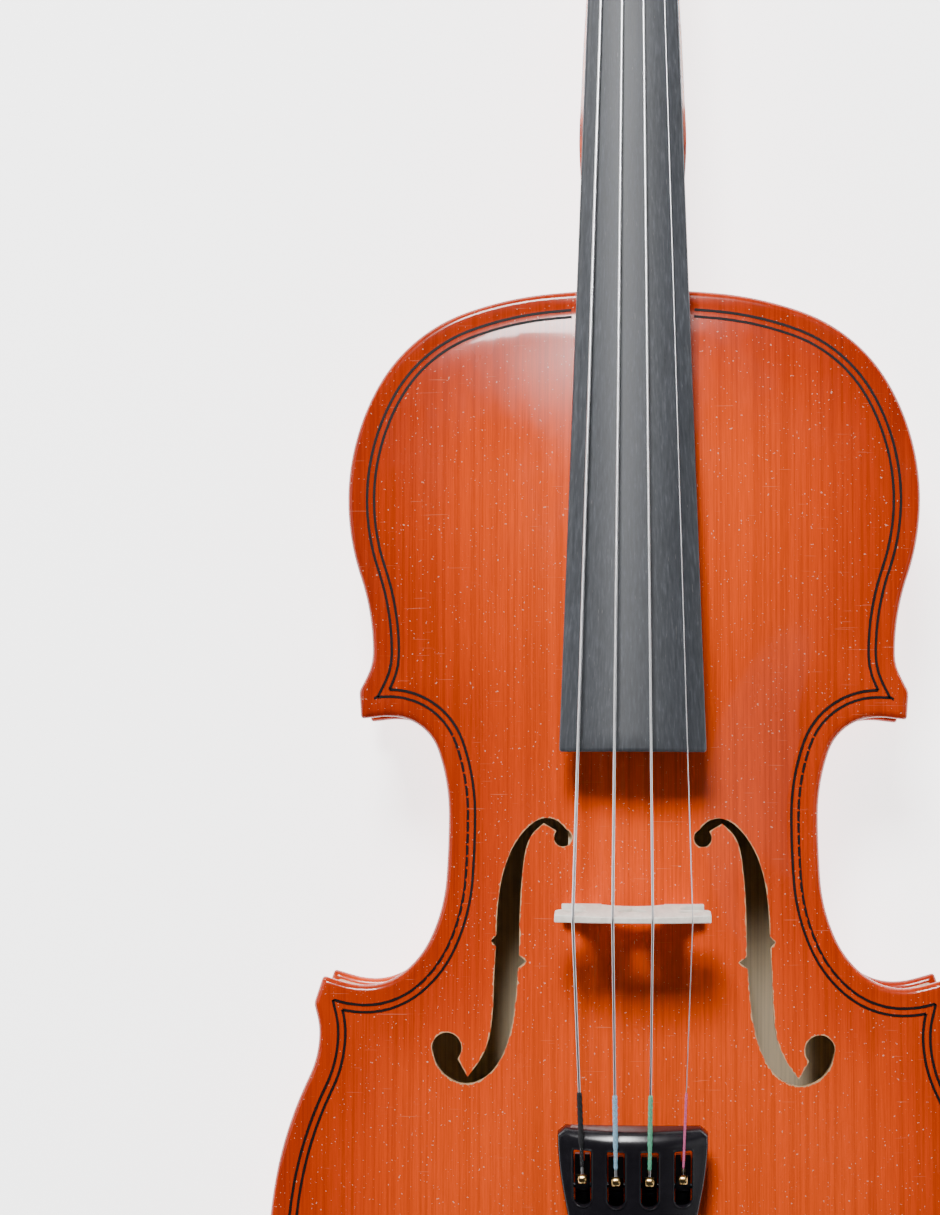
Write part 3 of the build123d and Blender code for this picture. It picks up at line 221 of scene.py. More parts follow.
def distance(points, path, closed=True):
    """Distance from each point to a polyline."""
    a = path if closed else path[:-1]
    b = np.roll(path, -1, axis=0) if closed else path[1:]
    side = b - a
    size = np.maximum((side ** 2).sum(1), 1e-12)
    best = np.full(len(points), 1e9)
    for start in range(0, len(points), 2000):
        p = points[start:start + 2000][:, None]
        t = np.clip(((p - a) * side).sum(-1) / size, 0, 1)
        gap = p - (a + t[..., None] * side)
        best[start:start + 2000] = np.sqrt((gap ** 2).sum(-1)).min(axis=1)
    return best


def outward(loop):
    """Normals of a closed loop, pointing away from what it encloses."""
    along = np.roll(loop, -1, axis=0) - np.roll(loop, 1, axis=0)
    normal = unit(np.stack([along[:, 1], -along[:, 0]], axis=1))
    return normal if turns_left(loop) else -normal


def turns_left(loop):
    """Whether a closed loop runs anticlockwise."""
    return (loop[:, 0] * np.roll(loop[:, 1], -1) - np.roll(loop[:, 0], -1) * loop[:, 1]).sum() > 0


def band_faces(first, second, count, flipped):
    """Quads between two closed rows of points, given by the index at which each row starts."""
    quads = [(first + i, first + (i + 1) % count, second + (i + 1) % count, second + i)
             for i in range(count)]
    return [quad[::-1] for quad in quads] if flipped else quads


def flat_triangles(loops, free):
    """Triangles between an outer loop, holes and free points, as indices into all of them."""
    points = np.concatenate([*loops, free])
    edges, start = [], 0
    for loop in loops:
        edges += [(start + i, start + (i + 1) % len(loop)) for i in range(len(loop))]
        start += len(loop)
    coordinates = [Vector(p) for p in points.tolist()]
    result = delaunay_2d_cdt(coordinates, edges, [], 0, 1e-5)
    origin = [o[0] if o else -1 for o in result[3]]
    triangles = np.array([[origin[i] for i in face] for face in result[2]])
    triangles = triangles[(triangles >= 0).all(axis=1)]
    middle = points[triangles].mean(axis=1)
    keep = inside(middle, loops[0])
    for hole in loops[1:]:
        keep &= ~inside(middle, hole)
    triangles = triangles[keep]
    a, b, c = (points[triangles[:, k]] for k in range(3))
    turn = (b[:, 0] - a[:, 0]) * (c[:, 1] - a[:, 1]) - (b[:, 1] - a[:, 1]) * (c[:, 0] - a[:, 0])
    triangles[turn < 0] = triangles[turn < 0][:, ::-1]
    return points, triangles


def grid_inside(loops, step, clear):
    """Free points on a triangular grid inside the outer loop, clear of every loop."""
    low, high = loops[0].min(axis=0), loops[0].max(axis=0)
    rows = np.arange(low[1], high[1], step * 0.87)
    places = [np.stack([np.arange(low[0] + (i % 2) * step / 2, high[0], step),
                        np.full(len(np.arange(low[0] + (i % 2) * step / 2, high[0], step)), y)], 1)
              for i, y in enumerate(rows)]
    points = np.concatenate(places)
    points = points[inside(points, loops[0])]
    for loop in loops:
        points = points[distance(points, loop) > clear]
    for hole in loops[1:]:
        points = points[~inside(points, hole)]
    return points


# ---- Making objects --------------------------------------------------------------------------------

def add_object(name, solid, materials, kinds=None, smooth_angle=40.0, attributes=None):
    """A mesh object from points in millimetres and faces, with its materials and shading."""
    points, faces = solid
    mesh = bpy.data.meshes.new(name)
    mesh.from_pydata((np.asarray(points) * MM).tolist(), [], faces)
    mesh.validate(clean_customdata=False)
    materials = materials if isinstance(materials, (list, tuple)) else [materials]
    for material in materials:
        mesh.materials.append(material)
    if kinds is not None and len(kinds) == len(mesh.polygons):
        mesh.polygons.foreach_set("material_index", np.asarray(kinds, np.int32))
    for key, values in (attributes or {}).items():
        layer = mesh.attributes.new(key, "FLOAT", "POINT")
        layer.data.foreach_set("value", np.asarray(values, np.float32))
    mesh.polygons.foreach_set("use_smooth", np.ones(len(mesh.polygons), bool))
    mesh.set_sharp_from_angle(angle=math.radians(smooth_angle))
    mesh.update()
    piece = bpy.data.objects.new(name, mesh)
    bpy.context.scene.collection.objects.link(piece)
    return piece


def belong(piece, body, nodes):
    """Ties a piece to the body that it moves with and the nodes that it stands for."""
    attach(piece, body)
    if nodes:
        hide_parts(*nodes)
    return piece


# ---- Materials -------------------------------------------------------------------------------------

def new_material(name):
    """An empty node material with its shader, or the material itself if it was made before."""
    name = "look_" + name
    material = bpy.data.materials.get(name)
    if material:
        return material, None, None
    material = bpy.data.materials.new(name)
    material.use_nodes = True
    tree = material.node_tree
    return material, tree, tree.nodes["Principled BSDF"]


def node(tree, kind, inputs=None, **settings):
    """A shader node with its settings, and constants or links for its inputs."""
    made = tree.nodes.new(kind)
    for key, value in settings.items():
        setattr(made, key, value)
    for key, value in (inputs or {}).items():
        if isinstance(value, bpy.types.NodeSocket):
            tree.links.new(value, made.inputs[key])
        else:
            made.inputs[key].default_value = value
    return made


def ramp(tree, source, *stops):
    """A colour ramp from pairs of place and colour; a single number makes a grey."""
    made = node(tree, "ShaderNodeValToRGB", {0: source})
    while len(made.color_ramp.elements) < len(stops):
        made.color_ramp.elements.new(0.5)
    for element, (place, colour) in zip(made.color_ramp.elements, stops):
        element.position = place
        colour = (colour,) * 3 if isinstance(colour, (int, float)) else colour
        element.color = (*colour, 1)
    return made.outputs[0]


def blend_colours(tree, share, first, second, mode="MIX"):
    """Two colours mixed by a share."""
    made = node(tree, "ShaderNodeMix", data_type="RGBA", blend_type=mode)
    for key, value in ((0, share), (6, first), (7, second)):
        if isinstance(value, bpy.types.NodeSocket):
            tree.links.new(value, made.inputs[key])
        else:
            made.inputs[key].default_value = (*value, 1) if isinstance(value, tuple) else value
    return made.outputs[2]


def mottled(tree, share, base, tone):
    """A colour multiplied by a tone, mixed with itself by a share."""
    return blend_colours(tree, share, base, blend_colours(tree, 1.0, base, tone, "MULTIPLY"))


def combine(tree, operation, first, second=0.0, third=0.0):
    """One arithmetic step on values."""
    return node(tree, "ShaderNodeMath", {0: first, 1: second, 2: third}, operation=operation).outputs[0]


def stretched_noise(tree, scale, detail=3.0, roughness=0.6, turn=0.0, offset=(0.0, 0.0, 0.0)):
    """Noise on object coordinates, stretched along an axis by unequal scales per metre."""
    place = node(tree, "ShaderNodeTexCoord").outputs["Object"]
    mapping = node(tree, "ShaderNodeMapping", {0: place, "Scale": scale, "Rotation": (0, 0, turn),
                                               "Location": offset})
    noise = node(tree, "ShaderNodeTexNoise", {0: mapping.outputs[0], "Scale": 1.0, "Detail": detail,
                                              "Roughness": roughness})
    return noise.outputs[0]


def bumped(tree, shader, height, strength, depth):
    """Gives a shader a bump from a height."""
    bump = node(tree, "ShaderNodeBump", {"Strength": strength, "Distance": depth, "Height": height})
    tree.links.new(bump.outputs[0], shader.inputs["Normal"])


def plain(name, colour, roughness=0.5, metallic=0.0, coat=0.0, noise=0.0, scale=400.0):
    """A material of one colour with a little unevenness in tone and gloss."""
    material, tree, shader = new_material(name)
    if tree is None:
        return material
    shader.inputs["Metallic"].default_value = metallic
    shader.inputs["Coat Weight"].default_value = coat
    shader.inputs["Coat Roughness"].default_value = 0.08
    grain = stretched_noise(tree, (scale, scale, scale), 4.0)
    dark = tuple(c * (1 - noise) for c in colour)
    light = tuple(min(1.0, c * (1 + noise)) for c in colour)
    tree.links.new(ramp(tree, grain, (0.3, dark), (0.7, light)), shader.inputs["Base Color"])
    gloss = node(tree, "ShaderNodeMapRange", {0: grain, 3: roughness * 0.85, 4: min(1.0, roughness * 1.15)})
    tree.links.new(gloss.outputs[0], shader.inputs["Roughness"])
    bumped(tree, shader, grain, 0.12 + noise, 0.00004)
    return material


def shade(colour, amount):
    """A varnish colour in a thicker or thinner layer: green and blue fall off faster than red."""
    red, green, blue = colour
    return min(1.0, red * amount), green * amount ** 1.6, blue * amount ** 1.3


def varnished_spruce(varnish):
    """Orange-red varnish over straight fine grain, darker and redder towards the edges, with specks."""
    material, tree, shader = new_material("varnished_spruce")
    if tree is None:
        return material
    edge = node(tree, "ShaderNodeAttribute", attribute_name="edge").outputs["Fac"]
    hole = node(tree, "ShaderNodeAttribute", attribute_name="hole").outputs["Fac"]
    broad = stretched_noise(tree, (9, 7, 7), 3.0, 0.5)
    toward_middle = combine(tree, "MULTIPLY", edge, 0.02)
    tone = combine(tree, "ADD", combine(tree, "MULTIPLY", toward_middle, 0.62),
                   combine(tree, "MULTIPLY", broad, 0.55))
    base = ramp(tree, tone, (0.16, shade(varnish, 0.47)), (0.36, shade(varnish, 0.74)), (0.62, varnish),
                (0.88, shade(varnish, 1.17)))
    grain = stretched_noise(tree, (1150, 7, 7), 2.0, 0.55)
    lines = ramp(tree, grain, (0.40, 0.62), (0.52, 1.0), (0.72, 1.14))
    base = mottled(tree, 0.42, base, lines)
    fine = stretched_noise(tree, (3800, 110, 110), 2.0)
    base = mottled(tree, 0.22, base, ramp(tree, fine, (0.35, 0.55), (0.7, 1.3)))
    speck = stretched_noise(tree, (1500, 1500, 1500), 1.0, 0.3)
    base = blend_colours(tree, ramp(tree, speck, (0.735, 0.0), (0.76, 0.55)), base, (0.85, 0.55, 0.40))
    scratch = stretched_noise(tree, (90, 2600, 90), 1.0, 0.4, 0.5)
    base = blend_colours(tree, ramp(tree, scratch, (0.755, 0.0), (0.79, 0.20)), base, (0.86, 0.42, 0.25))
    ragged = combine(tree, "MULTIPLY_ADD", stretched_noise(tree, (900, 350, 900), 2.0), 1.35, -0.46)
    chip = combine(tree, "LESS_THAN", hole, ragged)
    base = blend_colours(tree, chip, base, (0.62, 0.36, 0.19))
    tree.links.new(base, shader.inputs["Base Color"])
    patch = stretched_noise(tree, (60, 35, 60), 4.0)
    gloss = ramp(tree, patch, (0.35, 0.15), (0.70, 0.30))
    tree.links.new(gloss, shader.inputs["Roughness"])
    shader.inputs["Specular IOR Level"].default_value = 0.2
    shader.inputs["Coat Weight"].default_value = 0.4
    shader.inputs["Coat Roughness"].default_value = 0.07
    bumped(tree, shader, grain, 0.10, 0.00006)
    return material


def varnished_maple(varnish):
    """The same varnish over maple, with flames across the grain."""
    material, tree, shader = new_material("varnished_maple")
    if tree is None:
        return material
    flame = stretched_noise(tree, (14, 170, 60), 2.0, 0.45)
    broad = stretched_noise(tree, (8, 8, 8), 3.0)
    base = ramp(tree, flame, (0.34, shade(varnish, 0.48)), (0.50, shade(varnish, 0.73)), (0.66, varnish))
    base = mottled(tree, 0.35, base, ramp(tree, broad, (0.3, 0.62), (0.7, 1.25)))
    fleck = stretched_noise(tree, (1300, 120, 1300), 2.0)
    base = blend_colours(tree, ramp(tree, fleck, (0.60, 0.0), (0.75, 0.35)), base, (0.17, 0.025, 0.01))
    tree.links.new(base, shader.inputs["Base Color"])
    shader.inputs["Roughness"].default_value = 0.22
    shader.inputs["Specular IOR Level"].default_value = 0.2
    shader.inputs["Coat Weight"].default_value = 0.4
    shader.inputs["Coat Roughness"].default_value = 0.07
    return material


def bare_wood(name, colour, scale=(900, 12, 12), contrast=0.18, roughness=0.6):
    """Unvarnished wood with a faint grain."""
    material, tree, shader = new_material(name)
    if tree is None:
        return material
    grain = stretched_noise(tree, scale, 3.0)
    dark = tuple(c * (1 - contrast) for c in colour)
    light = tuple(min(1.0, c * (1 + contrast * 0.5)) for c in colour)
    tree.links.new(ramp(tree, grain, (0.35, dark), (0.65, light)), shader.inputs["Base Color"])
    shader.inputs["Roughness"].default_value = roughness
    bumped(tree, shader, grain, 0.25, 0.00008)
    return material


def board_black():
    """Blackened hardwood: charcoal with fine lengthwise grain and light rubbing marks."""
    material, tree, shader = new_material("blackened_board")
    if tree is None:
        return material
    grain = stretched_noise(tree, (1500, 16, 1500), 4.0, 0.65)
    broad = stretched_noise(tree, (50, 14, 50), 3.0)
    base = ramp(tree, grain, (0.30, (0.020, 0.023, 0.028)), (0.55, (0.036, 0.040, 0.048)),
                (0.78, (0.072, 0.078, 0.092)))
    base = mottled(tree, 0.5, base, ramp(tree, broad, (0.3, 0.6), (0.7, 1.5)))
    mark = stretched_noise(tree, (2600, 45, 2600), 1.0, 0.4, 0.04)
    base = blend_colours(tree, ramp(tree, mark, (0.73, 0.0), (0.80, 0.35)), base, (0.20, 0.19, 0.19))
    tree.links.new(base, shader.inputs["Base Color"])
    gloss = node(tree, "ShaderNodeMapRange", {0: grain, 3: 0.42, 4: 0.60})
    tree.links.new(gloss.outputs[0], shader.inputs["Roughness"])
    bumped(tree, shader, grain, 0.30, 0.00005)
    return material


# ---- Body outline and arching ----------------------------------------------------------------------

def arc_between(start, end, tangent):
    """An arc as start, end, centre and signed radius, positive when it curves inwards."""
    chord = np.subtract(end, start)
    normal = np.array((-tangent[1], tangent[0])) / math.hypot(*tangent)
    radius = chord.dot(chord) / (2 * chord.dot(normal))
    return [np.array(start, float), np.array(end, float), start + normal * radius, radius]


def two_arcs(first, last):
    """The pair of arcs that leaves one station on its heading and meets the next on its own."""
    p, q = np.array(first[:2], float), np.array(last[:2], float)
    a = np.array((math.cos(math.radians(first[2])), math.sin(math.radians(first[2]))))
    b = np.array((math.cos(math.radians(last[2])), math.sin(math.radians(last[2]))))
    v = q - p
    along, turn, square = v.dot(a + b), 2 * (1 - a.dot(b)), v.dot(v)
    reach = square / (2 * along) if turn < 1e-9 else (math.sqrt(along ** 2 + turn * square) - along) / turn
    from_p, from_q = p + a * reach, q - b * reach
    middle = (from_p + from_q) / 2
    return [arc_between(p, middle, a), arc_between(middle, q, from_q - from_p)]


def moved_arc(arc, inset, step=1.6):
    """Points of an arc moved inwards; their number depends only on the arc before the move."""
    start, end, centre, radius = arc
    first = math.atan2(*(start - centre)[::-1])
    turn = (math.atan2(*(end - centre)[::-1]) - first + math.pi) % (2 * math.pi) - math.pi
    count = max(4, int(abs(turn * radius) / step) + 1)
    angle = first + turn * np.linspace(0, 1, count)
    share = abs(radius) - inset * math.copysign(1, radius)
    return centre + share * np.stack([np.cos(angle), np.sin(angle)], axis=1)


def run_points(number, inset):
    """One run of the right edge between corners, moved inwards."""
    stations = STATIONS[number]
    arcs = [arc for pair in zip(stations, stations[1:]) for arc in two_arcs(*pair)]
    parts = [moved_arc(arc, inset) for arc in arcs]
    return np.concatenate([parts[0]] + [part[1:] for part in parts[1:]])


def crossing(first, second):
    """Where two polylines cross: the point, and the number of the segment in each."""
    a, b = first[:-1][:, None], first[1:][:, None]
    c, d = second[:-1][None], second[1:][None]
    r, s, w = b - a, d - c, c - a
    cross = r[..., 0] * s[..., 1] - r[..., 1] * s[..., 0]
    cross = np.where(np.abs(cross) < 1e-12, 1e-12, cross)
    t = (w[..., 0] * s[..., 1] - w[..., 1] * s[..., 0]) / cross
    u = (w[..., 0] * r[..., 1] - w[..., 1] * r[..., 0]) / cross
    hits = np.argwhere((t >= 0) & (t <= 1) & (u >= 0) & (u <= 1))
    if len(hits) == 0:
        return None
    i, j = hits[0]
    return first[i] + t[i, j] * (first[i + 1] - first[i]), i, j


def lengthened(path, reach):
    """A polyline continued straight at both ends."""
    before = path[0] + unit(path[0] - path[1]) * reach
    after = path[-1] + unit(path[-1] - path[-2]) * reach
    return np.concatenate([before[None], path, after[None]])


def trimmed_to(path, line, at_start):
    """A run cut or continued to a straight line, keeping its number of points."""
    hit = crossing(lengthened(path, 9.0), line)
    if hit is None:
        return path
    point, i, _ = hit
    kept = np.concatenate([point[None], path[i:]]) if at_start else np.concatenate([path[:i], point[None]])
    t = np.concatenate([[0], np.cumsum(np.linalg.norm(np.diff(kept, axis=0), axis=1))])
    s = np.linspace(0, t[-1], len(path))
    return np.stack([np.interp(s, t, kept[:, k]) for k in range(2)], axis=1)


def softened(path, corner_next, at_start, size=1.1, count=5):
    """Points of a small curve that rounds the corner between a run's end and the blunt corner line."""
    corner = path[0] if at_start else path[-1]
    inner = path[1] if at_start else path[-2]
    reach = min(size, 0.7 * np.linalg.norm(inner - corner), 0.4 * np.linalg.norm(corner_next - corner))
    a, b = corner + unit(inner - corner) * reach, corner + unit(corner_next - corner) * reach
    t = np.linspace(0, 1, count)[:, None]
    curve = (1 - t) ** 2 * a + 2 * t * (1 - t) * corner + t ** 2 * b
    return curve[::-1] if at_start else curve


def half_ring(inset):
    """The right half of the outline moved inwards, with its blunt corners softly rounded."""
    runs = [run_points(number, inset) for number in range(3)]
    if inset:
        for number in (0, 1):
            a, b = np.array(STATIONS[number][-1][:2]), np.array(STATIONS[number + 1][0][:2])
            shift = unit(np.array((-(b - a)[1], (b - a)[0]))) * inset
            line = np.stack([a + shift - (b - a) * 3, b + shift + (b - a) * 3])
            runs[number] = trimmed_to(runs[number], line, at_start=False)
            runs[number + 1] = trimmed_to(runs[number + 1], line, at_start=True)
    parts = [runs[0][:-1]]
    for number in (0, 1):
        ends = runs[number][-1], runs[number + 1][0]
        parts += [softened(runs[number], ends[1], False), softened(runs[number + 1], ends[0], True)]
        parts.append(runs[number + 1][1:-1] if number == 0 else runs[number + 1][1:])
    return np.concatenate(parts)


def with_button(half, inset):
    """A half ring whose start is led round the button, where the neck's heel stands."""
    radius, centre = BUTTON_RADIUS - inset, BUTTON_CENTRE
    end_x = math.sqrt(radius ** 2 - (inset - centre) ** 2)
    last = math.pi - math.atan2(end_x, inset - centre)
    angle = np.linspace(0, last, 14)
    arc = np.stack([radius * np.sin(angle), centre - radius * np.cos(angle)], axis=1)
    near = half[:, 0] < 14
    first = np.argmax(~near)
    x = end_x + 0.15 + half[:first, 0] * (14 - end_x - 0.15) / 14
    v = np.interp(x, half[:first + 1, 0], half[:first + 1, 1])
    return np.concatenate([arc[:-1], np.stack([x, v], axis=1), half[first:]])


def ring(inset, button=False):
    """The whole outline moved inwards: down the right side and up the left."""
    half = half_ring(inset)
    if button:
        half = with_button(half, inset)
    return np.concatenate([half, (half * (-1, 1))[-2:0:-1]])


def arch_width(v):
    """Half the width over which the arch rises."""
    upper, waist, lower = UPPER - ARCH_MARGIN, WAIST - ARCH_MARGIN, LOWER - ARCH_MARGIN
    v = np.clip(v, 0.0, LENGTH)
    top = upper * np.sqrt(np.clip(1 - (np.clip(UPPER_V - v, 0, None) / (UPPER_V + 2)) ** 2.6, 0, None))
    past = np.clip(v - LOWER_V, 0, None) / (LENGTH + 2 - LOWER_V)
    bottom = lower * np.sqrt(np.clip(1 - past ** 2.6, 0, None))
    down = waist + (upper - waist) * (1 + np.cos(math.pi * (v - UPPER_V) / (WAIST_V - UPPER_V))) / 2
    back = waist + (lower - waist) * (1 - np.cos(math.pi * (v - WAIST_V) / (LOWER_V - WAIST_V))) / 2
    return np.where(v < UPPER_V, top, np.where(v < WAIST_V, down, np.where(v < LOWER_V, back, bottom)))


def arch(x, v):
    """Share of the full rise: a flat-topped long arch times a rounded cross arch."""
    t = np.clip(np.abs(2 * v / LENGTH - 1), 0, 1)
    u = np.clip(np.abs(x) / arch_width(v), 0, 1)
    return (1 - t ** 4) ** 1.5 * (1 - u * u) ** 2 * (1 + u * u / 2)


def channel(edge):
    """Depth of the hollow that runs round the plate inside its edge."""
    depth, place, width = CHANNEL
    return depth * np.exp(-((edge - place) / width) ** 2)


def top_height(x, v, edge):
    """Level of the top plate's outer surface."""
    return TOP_LEVEL + TOP_RISE * arch(x, v) - channel(edge)


def back_height(x, v, edge):
    """Level of the back plate's outer surface."""
    return BACK_LEVEL - BACK_RISE * arch(x, v) + channel(edge)


def sound_hole_loop(side):
    """The edge of one sound hole: stem, nicks, wings and the two round eyes."""
    pieces = [spline(HOLE_OUTER_UPPER, 46), [HOLE_OUTER_NICK], spline(HOLE_OUTER_LOWER, 38),
              [HOLE_LOWER_WING], spline(HOLE_INNER_LOWER, 66), [HOLE_INNER_NICK],
              spline(HOLE_INNER_UPPER, 38), [HOLE_UPPER_WING]]
    loop = np.concatenate([np.asarray(p, float) for p in pieces])
    for x, v, radius in (UPPER_EYE, LOWER_EYE):
        centre = np.array((x, v))
        out = np.linalg.norm(loop - centre, axis=1) > radius + 0.12
        start = np.argmax(out & ~np.roll(out, 1))
        loop, out = np.roll(loop, -start, axis=0), np.roll(out, -start)
        kept = loop[:np.argmax(~out)] if not out.all() else loop
        first, last = kept[-1] - centre, kept[0] - centre
        begin, end = math.atan2(first[1], first[0]), math.atan2(last[1], last[0])
        while end <= begin:
            end += 2 * math.pi
        angle = np.linspace(begin, end, int((end - begin) * radius / 0.8) + 3)[1:-1]
        loop = np.concatenate([kept, centre + radius * np.stack([np.cos(angle), np.sin(angle)], axis=1)])
    return (loop + NOTCH) * (side, 1)


def build_plate(name, height, sign, button, holes, materials):
    """A carved plate: outer and inner surface over one triangulation, round edge and sound-hole walls."""
    outline, flat = ring(0.0, button), ring(FLAT_INSET, button)
    loops = [flat, *holes]
    normal = outward(outline)
    shells = [outline - normal * inset for inset in PLATE_SHELLS]
    shells = [shell[distance(shell, outline) > inset - 0.15] for shell, inset in zip(shells, PLATE_SHELLS)]
    around = [hole + outward(hole) * reach for hole in holes for reach in (0.5, 1.6)]
    grid = grid_inside(loops, 2.6, 1.5)
    grid = grid[distance(grid, outline) > 11.0]
    rim = np.concatenate([shell[::2] for shell in shells])
    free = np.concatenate([rim, grid, *around]) if around else np.concatenate([rim, grid])
    near_hole = np.ones(len(free), bool)
    for hole in holes:
        near_hole &= distance(free, hole) > 0.35
        near_hole &= ~inside(free, hole)
    if holes:
        close = np.zeros(len(free), bool)
        close[len(rim):len(rim) + len(grid)] = np.min([distance(free[len(rim):len(rim) + len(grid)], h)
                                                      for h in holes], axis=0) < 2.4
        near_hole &= ~close
    free = free[near_hole & (distance(free, flat) > 0.8)]
    points, triangles = flat_triangles(loops, free)
    edge = distance(points, outline)
    outer = height(points[:, 0], points[:, 1], edge)
    thick = PLATE_EDGE - smooth(6.0, 9.0, edge) * 1.0
    inner = outer - sign * thick
    count = len(points)
    places = [model(points[:, 0], points[:, 1], outer), model(points[:, 0], points[:, 1], inner)]
    level = TOP_LEVEL if sign > 0 else BACK_LEVEL
    for inset, drop in EDGE_PROFILE:
        r = ring(inset, button)
        places.append(model(r[:, 0], r[:, 1], level - sign * drop))
    points3 = np.concatenate(places)
    outward_first = triangles[:, ::-1] if sign > 0 else triangles
    faces = outward_first.tolist() + (outward_first[:, ::-1] + count).tolist()
    kinds = [0] * len(triangles) + [1] * len(triangles)
    n = len(flat)
    rings = [0] + [2 * count + k * n for k in range(len(EDGE_PROFILE))] + [count]
    for a, b in zip(rings, rings[1:]):
        faces += band_faces(a, b, n, sign < 0)
        kinds += [0] * n
    start = n
    for hole in holes:
        m = len(hole)
        faces += band_faces(start, start + count, m, turns_left(hole))
        kinds += [2] * m
        start += m
    spread = np.full(len(points3), 0.0)
    spread[:count] = edge
    spread[count:2 * count] = edge
    from_hole = np.full(len(points3), 50.0)
    if holes:
        from_hole[:count] = np.min([distance(points, hole) for hole in holes], axis=0)
    return add_object(name, (points3, faces), materials, kinds, 50.0, {"edge": spread, "hole": from_hole})


def ribbon(path, width, height, thickness=0.3):
    """A flat band along a path of places in the plate, lying on a surface level."""
    along = unit(np.gradient(path, axis=0))
    side = np.stack([-along[:, 1], along[:, 0]], axis=1) * np.reshape(width, (-1, 1)) / 2
    high, low = 0.16, -thickness
    corners = [(path + side, high), (path - side, high), (path - side, low), (path + side, low)]
    rings = np.stack([model(p[:, 0], p[:, 1], height + lift) for p, lift in corners], axis=1)
    return closed_loft(rings)


def purfling_paths(inset, overshoot, gap_x):
    """The painted line at one inset on the right side, cut where neighbouring runs meet."""
    runs = [lengthened(run_points(number, inset), 8.0) for number in range(3)]
    runs[0], runs[2] = runs[0][1:], runs[2][:-1]
    for number in (0, 1):
        hit = crossing(runs[number], runs[number + 1])
        if hit is None:
            continue
        point, i, j = hit
        tip = (np.array(STATIONS[number][-1][:2]) + np.array(STATIONS[number + 1][0][:2])) / 2
        far = point + unit(tip - point) * overshoot if overshoot else point
        runs[number] = np.concatenate([runs[number][:i + 1], point[None]]
                                      + ([far[None]] if overshoot else []))
        runs[number + 1] = np.concatenate([point[None], runs[number + 1][j + 1:]])
    if gap_x:
        first = np.argmax(runs[0][:, 0] > gap_x)
        runs[0] = runs[0][first:]
    return [resample(run, 1.3) for run in runs]


def build_purfling(name, height, gap_x, line_width, material):
    """Both painted lines round a plate."""
    solids = []
    for inset, overshoot in PURFLING:
        for path in purfling_paths(inset, overshoot, gap_x):
            for side in (-1, 1):
                placed = path * (side, 1)
                level = height(placed[:, 0], placed[:, 1], np.full(len(path), inset))
                solids.append(ribbon(placed, np.full(len(path), line_width), level))
    return add_object(name, joined(*solids), material, smooth_angle=30.0)


# ---- Neck, fingerboard and strings -----------------------------------------------------------------

def neck_plane(v):
    """Level of the fingerboard's gluing plane."""
    return NECK_LEVEL + NECK_SLOPE * v


def board_half(v):
    """Half the fingerboard's width."""
    share = (v - NUT_V) / (BOARD_END_V - NUT_V)
    return (BOARD_NUT_WIDTH + (BOARD_END_WIDTH - BOARD_NUT_WIDTH) * share) / 2


def crown_rise(half, radius):
    """Height of a round top of a given radius over a half width."""
    return radius - np.sqrt(radius ** 2 - np.asarray(half, float) ** 2)


def board_section(v, shrink=0.0):
    """Section of the fingerboard: round top, softened edges, upright sides, hollow underside."""
    half, level = board_half(v) - shrink, neck_plane(v)
    edge, crown, soft = BOARD_EDGE, BOARD_CROWN, 0.9
    x = np.linspace(-half + soft, half - soft, 33)
    top = level + edge + crown_rise(board_half(v), crown) - crown_rise(x, crown) - shrink
    turn = np.linspace(0, math.pi / 2, 6)[1:]
    right = np.stack([half - soft + soft * np.sin(turn), top[-1] - soft * (1 - np.cos(turn))], axis=1)
    left = right[::-1] * (-1, 1)
    low = np.linspace(half, -half, 25)
    depth = 3.6 * smooth(14.0, 26.0, v) * (1 - np.clip(np.abs(low) / (half - 3.0), 0, 1) ** 2)
    under = np.stack([low, level + depth + shrink], axis=1)
    section = np.concatenate([np.stack([x, top], axis=1), right, under, left])
    return model(section[:, 0], v, section[:, 1])


def build_fingerboard(material):
    """The fingerboard, lofted from the nut to its free end."""
    places = [(NUT_V, 0.0), *[(v, 0.0) for v in np.linspace(NUT_V + 2, BOARD_END_V - 1.0, 60)],
              (BOARD_END_V - 0.4, 0.12), (BOARD_END_V, 0.5)]
    points, faces = closed_loft([board_section(v, shrink) for v, shrink in places])
    return add_object("fingerboard_surface", (points, [f[::-1] for f in faces]), material)


STRING_RADIUS = {"g": 0.42, "d": 0.40, "a": 0.34, "e": 0.14}
STRING_RANK = {"g": -1.5, "d": -0.5, "a": 0.5, "e": 1.5}
PEGS = {"g": (19.0, -1, -4.5), "e": (33.0, 1, 4.5), "d": (50.0, -1, -3.2), "a": (64.0, 1, 2.6)}
BRIDGE_V, BRIDGE_TOP = 183.5, 94.0
TAIL_V, TAIL_LEVEL, TAIL_ANGLE = 245.6, 78.64, 0.18571


def tail(x, along, up):
    """A point from its place in the tailpiece: across, forwards along its crown, and up."""
    x, along, up = np.broadcast_arrays(np.asarray(x, float), along, up)
    c, s = math.cos(TAIL_ANGLE), math.sin(TAIL_ANGLE)
    return np.stack([x, BODY_EDGE_Y - TAIL_V + along * c - up * s, TAIL_LEVEL + along * s + up * c], axis=-1)


def peg_axis(name):
    """Place of a peg's axis along the head, and its level."""
    reach = PEGS[name][0]
    return NUT_V - reach, neck_plane(NUT_V) - 11.0 - 0.22 * (reach - 19.0)


def pegbox_width(v):
    """Width over both cheeks."""
    return 26.0 - 7.0 * (NUT_V - v) / 87.0


def peg_radius(name, x):
    """Radius of a peg's taper at a place across the head."""
    return 3.9 - (pegbox_width(peg_axis(name)[0]) / 2 - PEGS[name][1] * x) / 60.0


